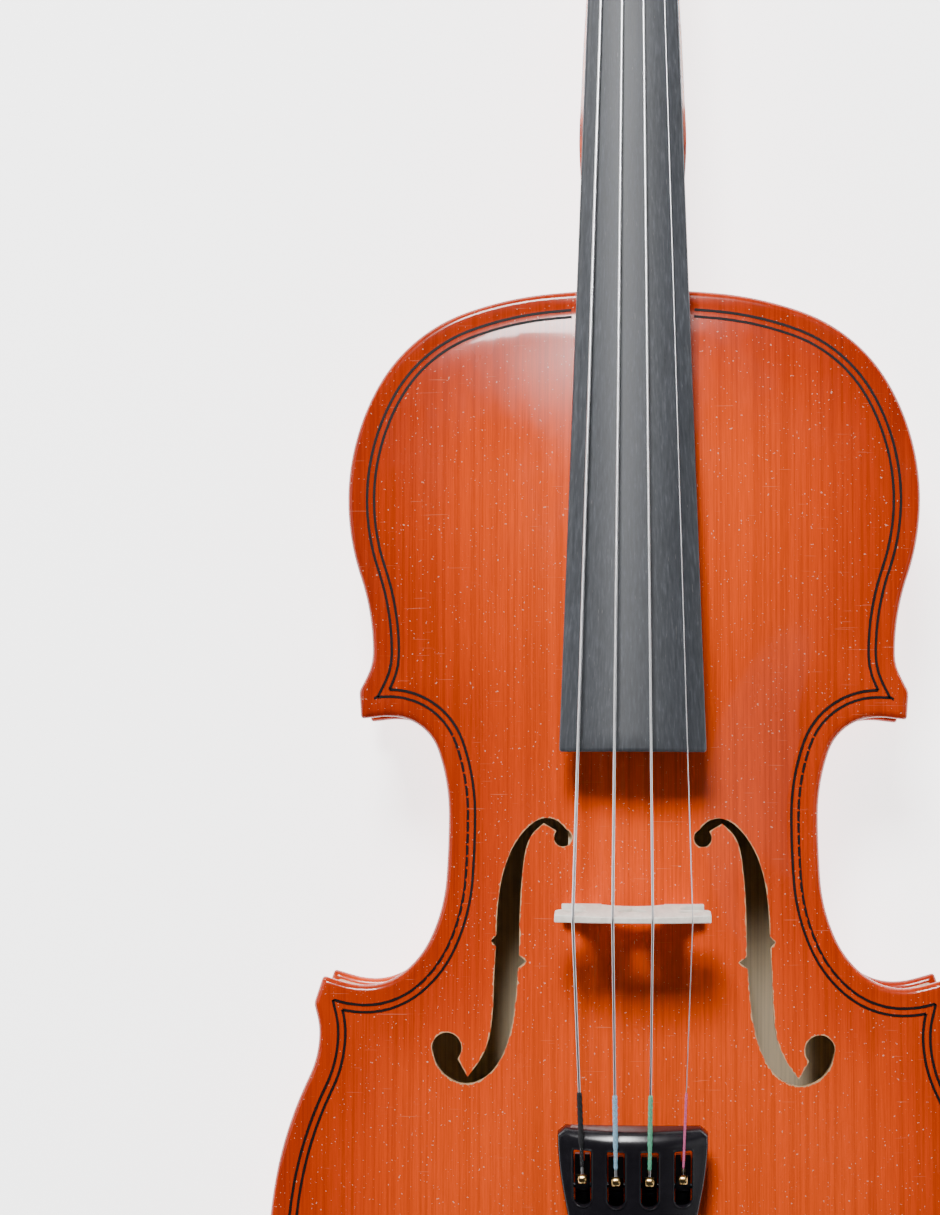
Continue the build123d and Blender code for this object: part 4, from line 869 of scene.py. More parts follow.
def string_route(name):
    """The string's four turning points: peg, nut, bridge and ball."""
    r, rank = STRING_RADIUS[name], STRING_RANK[name]
    v, level = peg_axis(name)
    x = PEGS[name][2]
    around = peg_radius(name, x) + 5 * r / 30 + 2 * r
    nut_v = NUT_V - 1.65
    nut_crown = crown_rise(BOARD_NUT_WIDTH / 2, BOARD_CROWN) - crown_rise(abs(rank) * AT_NUT, BOARD_CROWN)
    nut_level = neck_plane(nut_v) + 5.5 + nut_crown + r
    over = BRIDGE_TOP - crown_rise(abs(rank) * AT_BRIDGE, BOARD_CROWN) + r
    up = -crown_rise(abs(rank) * AT_TAIL + 2.1, TAIL_CROWN) - 0.1
    return np.stack([model(x, v, level + around + r + 0.1), model(rank * AT_NUT, nut_v, nut_level),
                     model(rank * AT_BRIDGE, BRIDGE_V + 1.4, over), tail(rank * AT_TAIL, -12.1, up + 0.9)])


def rounded_route(points, radii, step=2.5):
    """Straight runs joined by arcs, as closely spaced points."""
    path = [points[0]]
    for before, corner, after, radius in zip(points, points[1:], points[2:], radii):
        a, b = unit(before - corner), unit(after - corner)
        half = math.acos(np.clip(a.dot(b), -1, 1)) / 2
        reach = radius / math.tan(half)
        centre = corner + unit(a + b) * radius / math.sin(half)
        first, last = corner + a * reach - centre, corner + b * reach - centre
        turn = math.pi - 2 * half
        t = np.linspace(0, 1, 7)[:, None]
        blend_points = (np.sin((1 - t) * turn) * first + np.sin(t * turn) * last) / math.sin(turn)
        path += list(centre + blend_points)
    path.append(points[-1])
    path = np.array(path)
    pieces = [path[:1]]
    for a, b in zip(path, path[1:]):
        count = max(1, int(np.linalg.norm(b - a) / step))
        pieces.append(a + (b - a) * np.linspace(0, 1, count + 1)[1:, None])
    return np.concatenate(pieces)


def build_string(name, material):
    """One string, tangent to its winding, over the nut and the bridge to its ball."""
    route = rounded_route(string_route(name), (2.5, 2.0))
    return add_object(f"string_{name}_surface", tube(route, STRING_RADIUS[name], 20), material)


SILK = {"g": (0.78, (0.012, 0.012, 0.014)), "d": (0.72, (0.27, 0.47, 0.62)), "a": (0.68, (0.11, 0.42, 0.25)),
        "e": (0.36, (0.60, 0.12, 0.27))}


SILK_START, SILK_END, SILK_BETWEEN_PRONGS = 1.6, 24.5, 0.56
STRAND_SHARE = 0.52


def build_silk(name, material):
    """The thread wrapping near the ball: four strands laid round the string."""
    route = rounded_route(string_route(name), (2.5, 2.0), 0.35)
    left = np.concatenate([[0], np.cumsum(np.linalg.norm(np.diff(route[::-1], axis=0), axis=1))])[::-1]
    wrapped = (left < SILK_END) & (left > SILK_START)
    path = route[wrapped]
    along = unit(np.gradient(path, axis=0))
    side = np.cross(along, (0, 0, 1.0))
    side = unit(side)
    up = np.cross(side, along)
    radius = SILK[name][0]
    reach = radius + (min(radius, SILK_BETWEEN_PRONGS) - radius) * smooth(9.5, 7.5, left[wrapped])
    far = np.concatenate([[0], np.cumsum(np.linalg.norm(np.diff(path, axis=0), axis=1))])
    ends = np.minimum(1, np.minimum(far, far[-1] - far) / 0.8 + 0.35)
    strand_radius = reach * STRAND_SHARE * ends
    solids = []
    for strand in range(4):
        angle = far / (radius * 1.7) + strand * math.pi / 2
        offset = (np.cos(angle)[:, None] * side + np.sin(angle)[:, None] * up) * strand_radius[:, None]
        solids.append(tube(path + offset, strand_radius, 8))
    return add_object(f"silk_{name}", joined(*solids), material)


# ---- Neck and head ---------------------------------------------------------------------------------

SHAFT_UNDERSIDE = ((-135.5, 27.2), (-118, 28.9), (-95, 31.0), (-70, 33.3), (-46, 35.3),
                   (-32, 35.9), (-24.5, 34.6), (-19.0, 31.2), (-16.0, 26.0), (-14.2, 20.0), (-13.0, 14.4))
SHAFT_REFERENCE = ((-135.5, 40.2), (-118, 42.2), (-95, 44.9), (-70, 47.8), (-46, 50.6),
                   (-25, 53.0), (0, 54.0), (6.0, 46.0), (6.0, 36.0), (6.0, 25.0), (6.0, 14.4))
SHAFT_HALF_WIDTH = (11.7, 12.3, 13.1, 13.9, 14.8, 15.4, 15.9, 15.0, 13.6, 12.0, 10.5)
SCROLL_CENTRE = (-217.0, 20.0)
SCROLL_TURN = (-40, -20, 0, 45, 90, 135, 180, 225, 270, 315, 360, 450, 540, 630, 720, 810, 900)
SCROLL_RADII = (23.0, 20.6, 20.0, 20.0, 19.95, 19.7, 18.9, 17.6, 16.2, 15.1, 14.2, 12.6, 11.1, 9.6,
                8.2, 6.9, 5.6)
SCROLL_WIDTHS = (10.1, 9.9, 9.5, 8.5, 7.6, 6.9, 6.5, 6.8, 7.6, 8.7, 9.8, 11.8, 13.6, 15.3, 17.0, 18.6, 19.9)


def head_top(v):
    """Level of the cheeks' upper edges."""
    return neck_plane(NUT_V) - 1.5 + 0.17 * (v - NUT_V + 5.5)


def head_back(v):
    """Level of the back of the pegbox."""
    share = np.clip((NUT_V - v) / 87.0, 0, 1)
    return (neck_plane(NUT_V) - 18.0) * (1 - share) ** 1.3


def shaft_solid():
    """Neck shaft and heel: half ellipses fanned from the board's plane round to the button."""
    under, reference = spline(SHAFT_UNDERSIDE, 90), spline(SHAFT_REFERENCE, 90)
    half = spline([(i, w) for i, w in enumerate(SHAFT_HALF_WIDTH)], 90)[:, 1]
    turn = np.linspace(0, math.pi, 41)
    x = half[:, None] * np.cos(turn)
    v = reference[:, :1] + (under - reference)[:, :1] * np.sin(turn)
    z = reference[:, 1:] + (under - reference)[:, 1:] * np.sin(turn)
    across = np.linspace(-1, 1, 9)[1:-1] * half[:, None]
    x = np.concatenate([x, across], axis=1)
    v = np.concatenate([v, np.repeat(reference[:, :1], 7, axis=1)], axis=1)
    z = np.concatenate([z, np.repeat(reference[:, 1:], 7, axis=1)], axis=1)
    return closed_loft(model(x, v, z))


def pegbox_section(v, open_share):
    """Section of the pegbox: fluted back, upright cheeks with softened edges, and its cavity."""
    half, top, back = pegbox_width(v) / 2, head_top(v), head_back(v)
    soft, wall, floor = 1.1, 5.0, back + 5.5
    turn = np.linspace(0, math.pi / 2, 5)
    corner = np.stack([half - soft + soft * np.sin(turn), top - soft + soft * np.cos(turn)], axis=1)
    x = np.linspace(half, -half, 41)
    flute = 1.1 * np.sin(math.pi * np.abs(x) / half) ** 2 + 1.2 * smooth(half - 1.2, half, np.abs(x))
    under = np.stack([x, back + flute], axis=1)
    inner_low = top - (top - floor) * open_share
    inner = [(-half + wall, top), (-half + wall, inner_low), (0, inner_low), (half - wall, inner_low),
             (half - wall, top)]
    section = np.concatenate([corner, under, corner[::-1] * (-1, 1), inner])
    return model(section[:, 0], v, section[:, 1])


def scroll_solid():
    """The carved volute: a band that winds inwards and grows wider, with hollowed sides and two flutes.

    A point lies at radius r and turn a from the volute's centre: v = centre - r sin a, z = centre - r cos a.
    """
    turn = np.linspace(SCROLL_TURN[0], SCROLL_TURN[-1], 330)
    radius, half = np.interp(turn, SCROLL_TURN, SCROLL_RADII), np.interp(turn, SCROLL_TURN, SCROLL_WIDTHS)
    kernel = np.ones(9) / 9
    for values in (radius, half):
        values[4:-4] = np.convolve(values, kernel, "valid")
    inner = np.interp(turn + 360, SCROLL_TURN, SCROLL_RADII) - 1.5
    inner = np.minimum(inner, radius - 3.0)
    inner = np.maximum(inner, 0.6)
    share = np.linspace(-1, 1, 33)
    fade = smooth(780, 560, turn)[:, None]
    flute = fade * (0.95 * np.sin(math.pi * np.abs(share)) ** 2) + 0.5 * smooth(0.9, 1.0, np.abs(share))
    outer_r, outer_x = radius[:, None] - flute, half[:, None] * share
    side = np.linspace(0, 1, 9)[1:]
    depth = 2.1 * np.sin(side * math.pi * 0.62)
    side_r = (radius - 0.5)[:, None] + (inner - radius + 0.5)[:, None] * side
    side_x = half[:, None] - depth
    r = np.concatenate([outer_r, side_r, side_r[:, ::-1]], axis=1)
    x = np.concatenate([outer_x, side_x, -side_x[:, ::-1]], axis=1)
    angle = np.radians(turn)[:, None]
    v = SCROLL_CENTRE[0] - r * np.sin(angle)
    z = SCROLL_CENTRE[1] - r * np.cos(angle)
    return closed_loft(model(x, v, z))


def build_neck(material):
    """Shaft, heel, pegbox and scroll as one piece."""
    stations = [(-129.0, 0.0), (-132.0, 0.0), (-138.4, 0.0), (-138.6, 1.0),
                *[(v, 1.0) for v in np.linspace(-141, -201, 41)], (-202.0, 1.0), (-202.3, 0.0), (-206.0, 0.0)]
    pegbox = closed_loft([pegbox_section(v, share) for v, share in stations])
    centre = model(0, *SCROLL_CENTRE)
    eye_end = ((19.0, 4.8), (20.1, 4.3), (20.4, 3.4), (20.4, 0.0))
    eye_profile = [(-place, radius) for place, radius in eye_end[::-1]] + list(eye_end)
    eye = turned(eye_profile, centre, (1, 0, 0))
    solid = joined(shaft_solid(), pegbox, scroll_solid(), eye)
    return add_object("neck_surface", solid, material, smooth_angle=38.0)


PEG_HEAD = ((0.0, 3.9), (0.1, 5.0), (0.5, 5.3), (1.9, 5.3), (2.3, 5.0), (2.6, 4.3), (3.0, 3.6),
            (3.8, 3.15), (5.0, 3.05), (6.2, 3.3), (7.4, 3.9), (8.6, 4.0))


def build_peg(name, material):
    """A peg: tapered shank, turned collar and stem, and a flat heart-shaped thumb piece."""
    v, level = peg_axis(name)
    side = PEGS[name][1]
    cheek = pegbox_width(v) / 2
    collar = cheek + 4.0
    tip = -(cheek + 1.5)
    shank = [(tip, 0.0), (tip, 1.6), (tip + 0.4, float(peg_radius(name, side * tip)))]
    shank += [(x, float(peg_radius(name, side * x))) for x in np.linspace(tip + 1, collar, 12)]
    profile = shank + [(collar + out, radius) for out, radius in PEG_HEAD[1:]] + [(collar + 9.0, 0.0)]
    stem = turned(profile, model(0, v, level), (side, 0, 0), 40)
    around = np.linspace(0, 2 * math.pi, 73)[:-1]
    rings = []
    for t in np.linspace(0, math.pi, 29):
        out = np.sign(np.cos(t)) * abs(math.cos(t)) ** 0.9
        spread = math.sin(t) ** 0.8
        y = 12.0 * spread * np.cos(around) * (1 - 0.12 * out)
        z = 3.4 * math.sin(t) ** 0.45 * np.sign(np.sin(around)) * np.abs(np.sin(around)) ** 0.75
        z = z * (1 - 0.32 * np.exp(-(y / 7.0) ** 2))
        x = collar + 15.5 - 9.5 * out * np.ones_like(y)
        rings.append(np.stack([side * x, BODY_EDGE_Y - v - y, level + z], axis=1))
    thumb = closed_loft(rings)
    return add_object(f"peg_{name}_surface", joined(stem, thumb), material, smooth_angle=60.0)


# ---- Bridge, tailpiece and tuners ------------------------------------------------------------------

BRIDGE_WING = ((22.0, 17.6), (21.2, 15.9), (19.4, 15.0), (17.4, 15.2), (15.6, 15.7), (14.1, 15.0),
               (13.4, 13.2), (13.7, 10.6), (14.6, 7.9), (15.8, 5.4), (17.6, 3.6), (19.6, 2.7), (20.5, 1.9))
BRIDGE_UNDER = ((9.0, 1.6), (8.7, 3.4), (7.7, 5.0), (5.8, 6.4), (3.2, 7.3), (0.0, 7.6))
HEART = ((0.0, 11.6), (1.6, 14.2), (3.6, 16.6), (4.1, 18.6), (3.0, 20.5), (1.2, 20.4), (0.0, 18.9))


BRIDGE_BASE_LEVEL, BRIDGE_BACK, BRIDGE_HEIGHT, BRIDGE_HALF_TOP = 61.0, 2.25, 33.0, 22.0
BRIDGE_FOOT = (20.5, 9.0)
BRIDGE_THICKNESS = ((0, 5, 28, 33), (4.4, 4.3, 2.1, 1.65))
BRIDGE_EYE_PLACE, BRIDGE_EYE_SIZE = (16.4, 19.2), (3.4, 2.9)
FOOT_SINK = 0.15
OPEN_PLATE = 40.0


def build_bridge(material):
    """The carved bridge: crowned top, open wings and heart, thinner towards the top, feet cut to the arch."""
    base, back = BRIDGE_BASE_LEVEL, BRIDGE_V + BRIDGE_BACK
    x_top = np.linspace(-BRIDGE_HALF_TOP, BRIDGE_HALF_TOP, 45)
    crown = np.stack([x_top, BRIDGE_HEIGHT - crown_rise(x_top, BOARD_CROWN)], axis=1)
    wing, under = spline(BRIDGE_WING, 40), spline(BRIDGE_UNDER, 24)
    sole_x = np.linspace(*BRIDGE_FOOT, 14)
    arch_level = top_height(sole_x, BRIDGE_V, OPEN_PLATE)
    sole = np.stack([sole_x, arch_level - base - FOOT_SINK], axis=1)
    right = np.concatenate([wing, sole, under])
    outline = np.concatenate([crown, right, (right * (-1, 1))[-2::-1]])
    outline = outline[np.r_[True, np.linalg.norm(np.diff(outline, axis=0), axis=1) > 1e-4]]
    half_heart = spline(HEART, 26)
    heart = np.concatenate([half_heart, (half_heart * (-1, 1))[-2:0:-1]])
    angle = np.linspace(0, 2 * math.pi, 37)[:-1]
    (eye_x, eye_up), (eye_wide, eye_high) = BRIDGE_EYE_PLACE, BRIDGE_EYE_SIZE
    eyes = [np.stack([side * eye_x + eye_wide * np.cos(angle), eye_up + eye_high * np.sin(angle)], axis=1)
            for side in (-1, 1)]
    loops = [outline, heart, *eyes]
    points, triangles = flat_triangles(loops, grid_inside(loops, 1.4, 0.7))
    count = len(points)
    thick = np.interp(points[:, 1], *BRIDGE_THICKNESS)
    front = model(points[:, 0], back - thick, base + points[:, 1])
    rear = model(points[:, 0], np.full(count, back), base + points[:, 1])
    faces = triangles[:, ::-1].tolist() + (triangles + count).tolist()
    start = 0
    for loop in loops:
        n = len(loop)
        outer = start == 0
        faces += band_faces(start, start + count, n, turns_left(loop) != outer)
        start += n
    piece = add_object("bridge_surface", (np.concatenate([front, rear]), faces), material,
                       smooth_angle=35.0)
    bevel = piece.modifiers.new("edges", "BEVEL")
    bevel.width, bevel.segments = 0.00028, 2
    bevel.limit_method, bevel.angle_limit = "ANGLE", math.radians(50)
    return piece


TAIL_PLAN = ((0.0, 21.5), (-4.0, 21.4), (-14.0, 20.5), (-26.0, 18.3), (-40.0, 16.2), (-62.0, 13.8),
             (-85.0, 11.9), (-104.5, 10.4))
WINDOW_HALF, WINDOW_FRONT, WINDOW_REAR, SCREW_ALONG = 2.62, -5.2, -21.7, -28.0
TAIL_RIM = ((0.55, 0.10), (1.0, 0.40), (1.3, 0.85), (1.4, 1.5))


TAIL_SHELL, TAIL_SKIRT, SCREW_BORE = 2.2, 1.4, 1.35
SKIRT_DEPTH = ((-106, 0), (-6.0, -9.5))
SKIRT_EDGE = ((1.1, 0.0), (0.4, 0.0), (0.0, 0.35))


def window_loop(x):
    """A window in the tailpiece: square at the front, round at the rear."""
    turn = np.linspace(0, math.pi, 15)
    rear = np.stack([x + WINDOW_HALF * np.cos(turn),
                     WINDOW_REAR + WINDOW_HALF * (1 - np.sin(turn))], axis=1)
    front = np.array(((x - WINDOW_HALF, WINDOW_FRONT - 0.5), (x - WINDOW_HALF + 0.15, WINDOW_FRONT - 0.15),
                      (x - WINDOW_HALF + 0.5, WINDOW_FRONT), (x + WINDOW_HALF - 0.5, WINDOW_FRONT),
                      (x + WINDOW_HALF - 0.15, WINDOW_FRONT - 0.15), (x + WINDOW_HALF, WINDOW_FRONT - 0.5)))
    return np.concatenate([rear, front])


def bead(loop, radius, height):
    """A round bead along a closed loop that lies on a height over the tailpiece's plane."""
    n = len(loop)
    out = outward(loop)
    level = height(loop[:, 0])
    angle = np.arange(8) * math.pi / 4
    places = [(loop + out * radius * math.cos(a), radius * math.sin(a)) for a in angle]
    rings = [tail(place[:, 0], place[:, 1], level + lift) for place, lift in places]
    points = np.stack(rings, axis=1).reshape(-1, 3)
    i, j = np.meshgrid(np.arange(n), np.arange(8), indexing="ij")
    a, b = i * 8 + j, i * 8 + (j + 1) % 8
    c, d = ((i + 1) % n) * 8 + (j + 1) % 8, ((i + 1) % n) * 8 + j
    return points, np.stack([a, b, c, d], -1).reshape(-1, 4).tolist()


def build_tailpiece(material):
    """Moulded tailpiece: crowned shell with a slanted front face, tapering sides, windows and screw holes."""
    plan = spline(TAIL_PLAN, 50)
    side = np.stack([plan[:, 1] - TAIL_SKIRT, plan[:, 0]], axis=1)
    side = side[side[:, 1] < -1.2]
    front_x = np.linspace(-side[0, 0], side[0, 0], 35)[1:-1]
    front = np.stack([front_x, -1.3 - 2.3 * (1 - (front_x / 20.1) ** 2)], axis=1)
    rear_turn = np.linspace(0, math.pi, 15)[1:-1]
    rear_half = side[-1, 0]
    rear = np.stack([rear_half * np.cos(rear_turn), side[-1, 1] - 1.1 * np.sin(rear_turn)], axis=1)
    outline = np.concatenate([front, side, rear, (side * (-1, 1))[::-1]])
    angle = np.linspace(0, 2 * math.pi, 25)[:-1]
    places = [rank * AT_TAIL for rank in STRING_RANK.values()]
    windows = [window_loop(x) for x in places]
    bores = [np.stack([x + SCREW_BORE * np.cos(angle), SCREW_ALONG + SCREW_BORE * np.sin(angle)], axis=1)
             for x in places]
    loops = [outline, *windows, *bores]
    points, triangles = flat_triangles(loops, grid_inside(loops, 2.2, 0.8))
    count, n = len(points), len(outline)
    top = -crown_rise(points[:, 0], TAIL_CROWN)
    solid = [tail(points[:, 0], points[:, 1], top), tail(points[:, 0], points[:, 1], top - TAIL_SHELL)]
    normal = outward(outline)
    is_front = smooth(0.55, 0.95, normal[:, 1])
    reach = 1 + is_front * (1.6 * (1 - (outline[:, 0] / 21.0) ** 2))
    crown = -crown_rise(np.clip(np.abs(outline[:, 0]), 0, 20), TAIL_CROWN)
    depth = np.interp(outline[:, 1], *SKIRT_DEPTH)
    rings = []
    for out, drop in TAIL_RIM:
        place = outline + normal * (out * reach)[:, None]
        rings.append(tail(place[:, 0], place[:, 1], crown - drop - is_front * 1.5 * out / TAIL_SKIRT))
    full = outline + normal * (TAIL_SKIRT * reach)[:, None]
    rings.append(tail(full[:, 0], full[:, 1], depth + 0.4))
    for out, lift in SKIRT_EDGE:
        place = outline + normal * (out * reach)[:, None]
        rings.append(tail(place[:, 0], place[:, 1], depth + lift))
    solid += rings
    faces = triangles.tolist() + (triangles[:, ::-1] + count).tolist()
    order = [0] + [2 * count + k * n for k in range(len(rings))] + [count]
    leftward = turns_left(outline)
    for a, b in zip(order, order[1:]):
        quads = [(a + i, b + i, b + (i + 1) % n, a + (i + 1) % n) for i in range(n)]
        faces += quads if leftward else [quad[::-1] for quad in quads]
    start = n
    for loop in loops[1:]:
        m = len(loop)
        faces += band_faces(start, start + count, m, not turns_left(loop))
        start += m
    shell = np.concatenate(solid), faces
    beads = [bead(loop + outward(loop) * 0.15, 0.3, lambda x: -crown_rise(x, TAIL_CROWN)) for loop in windows]
    return add_object("tailpiece_surface", joined(shell, *beads), material, smooth_angle=42.0)


SCREW_HEAD, SCREW_HEAD_HEIGHT, SCREW_SHANK = 3.35, 3.0, 1.2
SCREW_TIP_LEVEL, SCREW_TRAVEL, SCREW_HEAD_GAP = -7.65, 2.5, 0.3


def screw_seat(x):
    """Level of the tailpiece's crown under a screw's head, at its highest."""
    return -float(crown_rise(max(abs(x) - SCREW_HEAD - 0.05, 0), TAIL_CROWN))


def build_screw(name, material):
    """A tuner's screw: knurled, slightly domed head on a tapered shank."""
    x = STRING_RANK[name] * AT_TAIL
    low, under = SCREW_TIP_LEVEL, screw_seat(x) + SCREW_TRAVEL + SCREW_HEAD_GAP
    top = under + SCREW_HEAD_HEIGHT
    axis = tail(0, 0, 1) - tail(0, 0, 0)
    profile = [(low, 0.0), (low, 0.35), (low + 1.0, SCREW_SHANK), (under, SCREW_SHANK), (under, 3.0),
               (under + 0.35, SCREW_HEAD), (top - 0.5, SCREW_HEAD), (top - 0.15, 3.0), (top - 0.05, 2.0),
               (top, 0.0)]
    points, faces = turned(profile, tail(x, SCREW_ALONG, 0), axis, 72)
    middle = tail(x, SCREW_ALONG, 0)
    along = (points - middle) @ axis
    out = points - middle - along[:, None] * axis
    size = np.linalg.norm(out, axis=1)
    ridge = np.tile(np.arange(72), len(profile))
    ridge = np.concatenate([ridge, [0, 0]])
    cut = np.where((size > 3.2) & (ridge % 3 == 0), 0.93, 1.0)
    points = middle + along[:, None] * axis + out * cut[:, None]
    return add_object(f"screw_{name}_surface", (points, faces), material, smooth_angle=30.0)


def build_ball(name, material):
    """The brass ball end: a short barrel with rounded ends, lying across its fork."""
    x = STRING_RANK[name] * AT_TAIL
    along, up = -13.8, -float(crown_rise(abs(x) + 2.1, TAIL_CROWN)) - 0.1
    profile = [(-1.3, 0.0), (-1.3, 0.55), (-1.25, 1.15), (-1.0, 1.42), (-0.5, 1.5), (0.5, 1.5), (1.0, 1.42),
               (1.25, 1.15), (1.3, 0.55), (1.3, 0.0)]
    return add_object(f"ball_{name}_surface", turned(profile, tail(x, along, up), (1, 0, 0), 32), material,
                      smooth_angle=50.0)


def build_end_button(material):
    """The turned end button with its neck for the gut."""
    profile = [(-12, 0.0), (-12, 3.4), (0, 3.74), (0.1, 5.6), (0.5, 6.0), (1.8, 6.0), (2.1, 5.6), (2.2, 4.2),
               (2.8, 3.9), (5.2, 3.9), (5.8, 4.4), (6.2, 6.0), (7.0, 6.8), (8.4, 7.0), (10.2, 6.7),
               (11.3, 5.6), (11.7, 3.6), (11.8, 0.0)]
    return add_object("end_button_surface", turned(profile, model(0, 352.2, 30.0), (0, -1, 0), 56), material,
                      smooth_angle=50.0)


# ---- Stage -----------------------------------------------------------------------------------------

CAMERA_PLACE, CAMERA_AIM, CAMERA_LENS = (0.0, -0.0883, 0.9495), (-0.048, -0.0313, 0.0495), 90.6


def build_stage(floor_size, key_power):
    """Pale floor, soft box lights, even surroundings and the camera."""
    scene = bpy.context.scene
    floor, half = bpy.data.meshes.new("floor"), floor_size / 2
    corners = [(-half, -half, 0), (half, -half, 0), (half, half, 0), (-half, half, 0)]
    floor.from_pydata(corners, [], [(0, 1, 2, 3)])
    piece = bpy.data.objects.new("floor", floor)
    scene.collection.objects.link(piece)
    material = bpy.data.materials.new("studio_floor")
    material.use_nodes = True
    shader = material.node_tree.nodes["Principled BSDF"]
    shader.inputs["Base Color"].default_value = (0.9, 0.9, 0.9, 1)
    shader.inputs["Roughness"].default_value = 0.8
    shader.inputs["Emission Color"].default_value = (1, 1, 1, 1)
    shader.inputs["Emission Strength"].default_value = 3.0
    floor.materials.append(material)
    world = bpy.data.worlds.new("studio")
    world.use_nodes = True
    tree = world.node_tree
    height = node(tree, "ShaderNodeSeparateXYZ", {0: node(tree, "ShaderNodeTexCoord").outputs["Generated"]})
    sky = ramp(tree, height.outputs[2], (0.05, 1.0), (0.55, 0.45), (0.85, 0.06))
    tree.links.new(sky, tree.nodes["Background"].inputs[0])
    tree.nodes["Background"].inputs[1].default_value = 0.12
    scene.world = world
    lights = (("key_light", (-0.22, 1.05, 1.5), (0, -0.05, 0.05), 0.5, key_power),
              ("side_light", (-1.7, 0.3, 1.0), (0, -0.1, 0.05), 0.8, 3.0),
              ("fill_light", (1.5, -0.6, 1.5), (0, -0.1, 0.05), 1.2, 3.0))
    for name, place, aim, size, power in lights:
        data = bpy.data.lights.new(name, "AREA")
        data.shape, data.size, data.energy = "SQUARE", size, power
        light = bpy.data.objects.new(name, data)
        light.location = place
        light.rotation_mode = "QUATERNION"
        light.rotation_quaternion = (Vector(aim) - Vector(place)).to_track_quat("-Z", "Y")
        scene.collection.objects.link(light)
    data = bpy.data.cameras.new("camera")
    data.lens, data.sensor_width, data.dof.use_dof = CAMERA_LENS, 36.0, False
    camera = bpy.data.objects.new("camera", data)
    place = Vector(CAMERA_PLACE)
    back = (place - Vector(CAMERA_AIM)).normalized()
    up = back.cross(Vector((1, 0, 0))).normalized()
    across = up.cross(back)
    camera.matrix_world = Matrix.Translation(place) @ Matrix((across, up, back)).transposed().to_4x4()
    scene.collection.objects.link(camera)
    scene.camera = camera


# ---- Add-on ----------------------------------------------------------------------------------------

def colour_property(title, about, default):
    """A colour setting."""
    return bpy.props.FloatVectorProperty(name=title, description=about, default=default, size=3,
                                         min=0.0, max=1.0, subtype="COLOR")


class ViolinSizes(bpy.types.PropertyGroup):
    """Sizes that a user may change before the pieces are made."""
    purfling_width: bpy.props.FloatProperty(name="Purfling width", description="Width of each painted line",
                                            default=PURFLING_WIDTH * MM, min=0.0002, max=0.002, unit="LENGTH")
    floor_size: bpy.props.FloatProperty(name="Floor size", description="Length of the studio floor's side",
                                        default=8.0, min=2.0, max=40.0, unit="LENGTH")
    key_power: bpy.props.FloatProperty(name="Key light", description="Power of the main light", default=54.0,
                                       min=1.0, max=500.0, unit="POWER")


class ViolinColours(bpy.types.PropertyGroup):
    """Colours that a user may change before the pieces are made."""
    varnish: colour_property("Varnish", "Middle tone of the varnish over spruce", (0.72, 0.062, 0.004))
    flame: colour_property("Flame", "Light tone of the varnish over maple", (0.66, 0.062, 0.004))
    bridge: colour_property("Bridge", "Bare maple of the bridge", (0.95, 0.88, 0.78))
    raw: colour_property("Raw wood", "Unvarnished wood inside the body", (0.85, 0.68, 0.45))
    metal: colour_property("Strings", "Metal of the strings", (0.72, 0.72, 0.74))
    fittings: colour_property("Fittings", "Pegs and end button", (0.012, 0.010, 0.010))
    silk_g: colour_property("G silk", "Thread round the G string's end", SILK["g"][1])
    silk_d: colour_property("D silk", "Thread round the D string's end", SILK["d"][1])
    silk_a: colour_property("A silk", "Thread round the A string's end", SILK["a"][1])
    silk_e: colour_property("E silk", "Thread round the E string's end", SILK["e"][1])


def looks(context):
    """The violin's materials by use, made at the first call."""
    colours = context.scene.violin_colours
    return {"spruce": varnished_spruce(tuple(colours.varnish)),
            "maple": varnished_maple(tuple(colours.flame)),
            "raw": bare_wood("raw_spruce", tuple(colours.raw), roughness=0.8),
            "wall": bare_wood("hole_wall", (0.56, 0.36, 0.19), contrast=0.3, roughness=0.7),
            "board": board_black(),
            "bridge": bare_wood("bare_maple", tuple(colours.bridge), (500, 500, 60), 0.12, 0.5),
            "painted": plain("painted_line", (0.012, 0.008, 0.008), 0.3, coat=0.5),
            "fittings": plain("black_hardwood", tuple(colours.fittings), 0.28, coat=0.3, noise=0.3),
            "plastic": plain("black_plastic", (0.010, 0.009, 0.012), 0.24, noise=0.15),
            "black_metal": plain("nickel", (0.05, 0.05, 0.055), 0.3, metallic=1.0),
            "brass": plain("ball_brass", (0.80, 0.53, 0.22), 0.25, metallic=1.0),
            "steel": plain("string_metal", tuple(colours.metal), 0.3, metallic=1.0),
            "nylon": plain("black_nylon", (0.012, 0.012, 0.012), 0.35)}


class PieceOperator:
    """What every operator of the violin shares."""
    bl_options = {"REGISTER", "UNDO"}

    def execute(self, context):
        if len(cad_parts) == 0:
            raise RuntimeError("the frame holds no nodes")
        self.build(context, looks(context))
        return {"FINISHED"}


class VIOLIN_OT_top_plate(PieceOperator, bpy.types.Operator):
    """Arched top plate with its two sound holes"""
    bl_idname, bl_label = "violin.top_plate", "Top Plate"

    def build(self, context, look):
        holes = [sound_hole_loop(side) for side in (1, -1)]
        finishes = [look[use] for use in ("spruce", "raw", "wall")]
        piece = build_plate("top_surface", top_height, 1, False, holes, finishes)
        belong(piece, "root", ["top_plate"])


class VIOLIN_OT_back_plate(PieceOperator, bpy.types.Operator):
    """Arched back plate with the button under the heel"""
    bl_idname, bl_label = "violin.back_plate", "Back Plate"

    def build(self, context, look):
        finishes = [look[use] for use in ("maple", "raw", "wall")]
        piece = build_plate("back_surface", back_height, -1, True, [], finishes)
        belong(piece, "root", ["back_plate"])


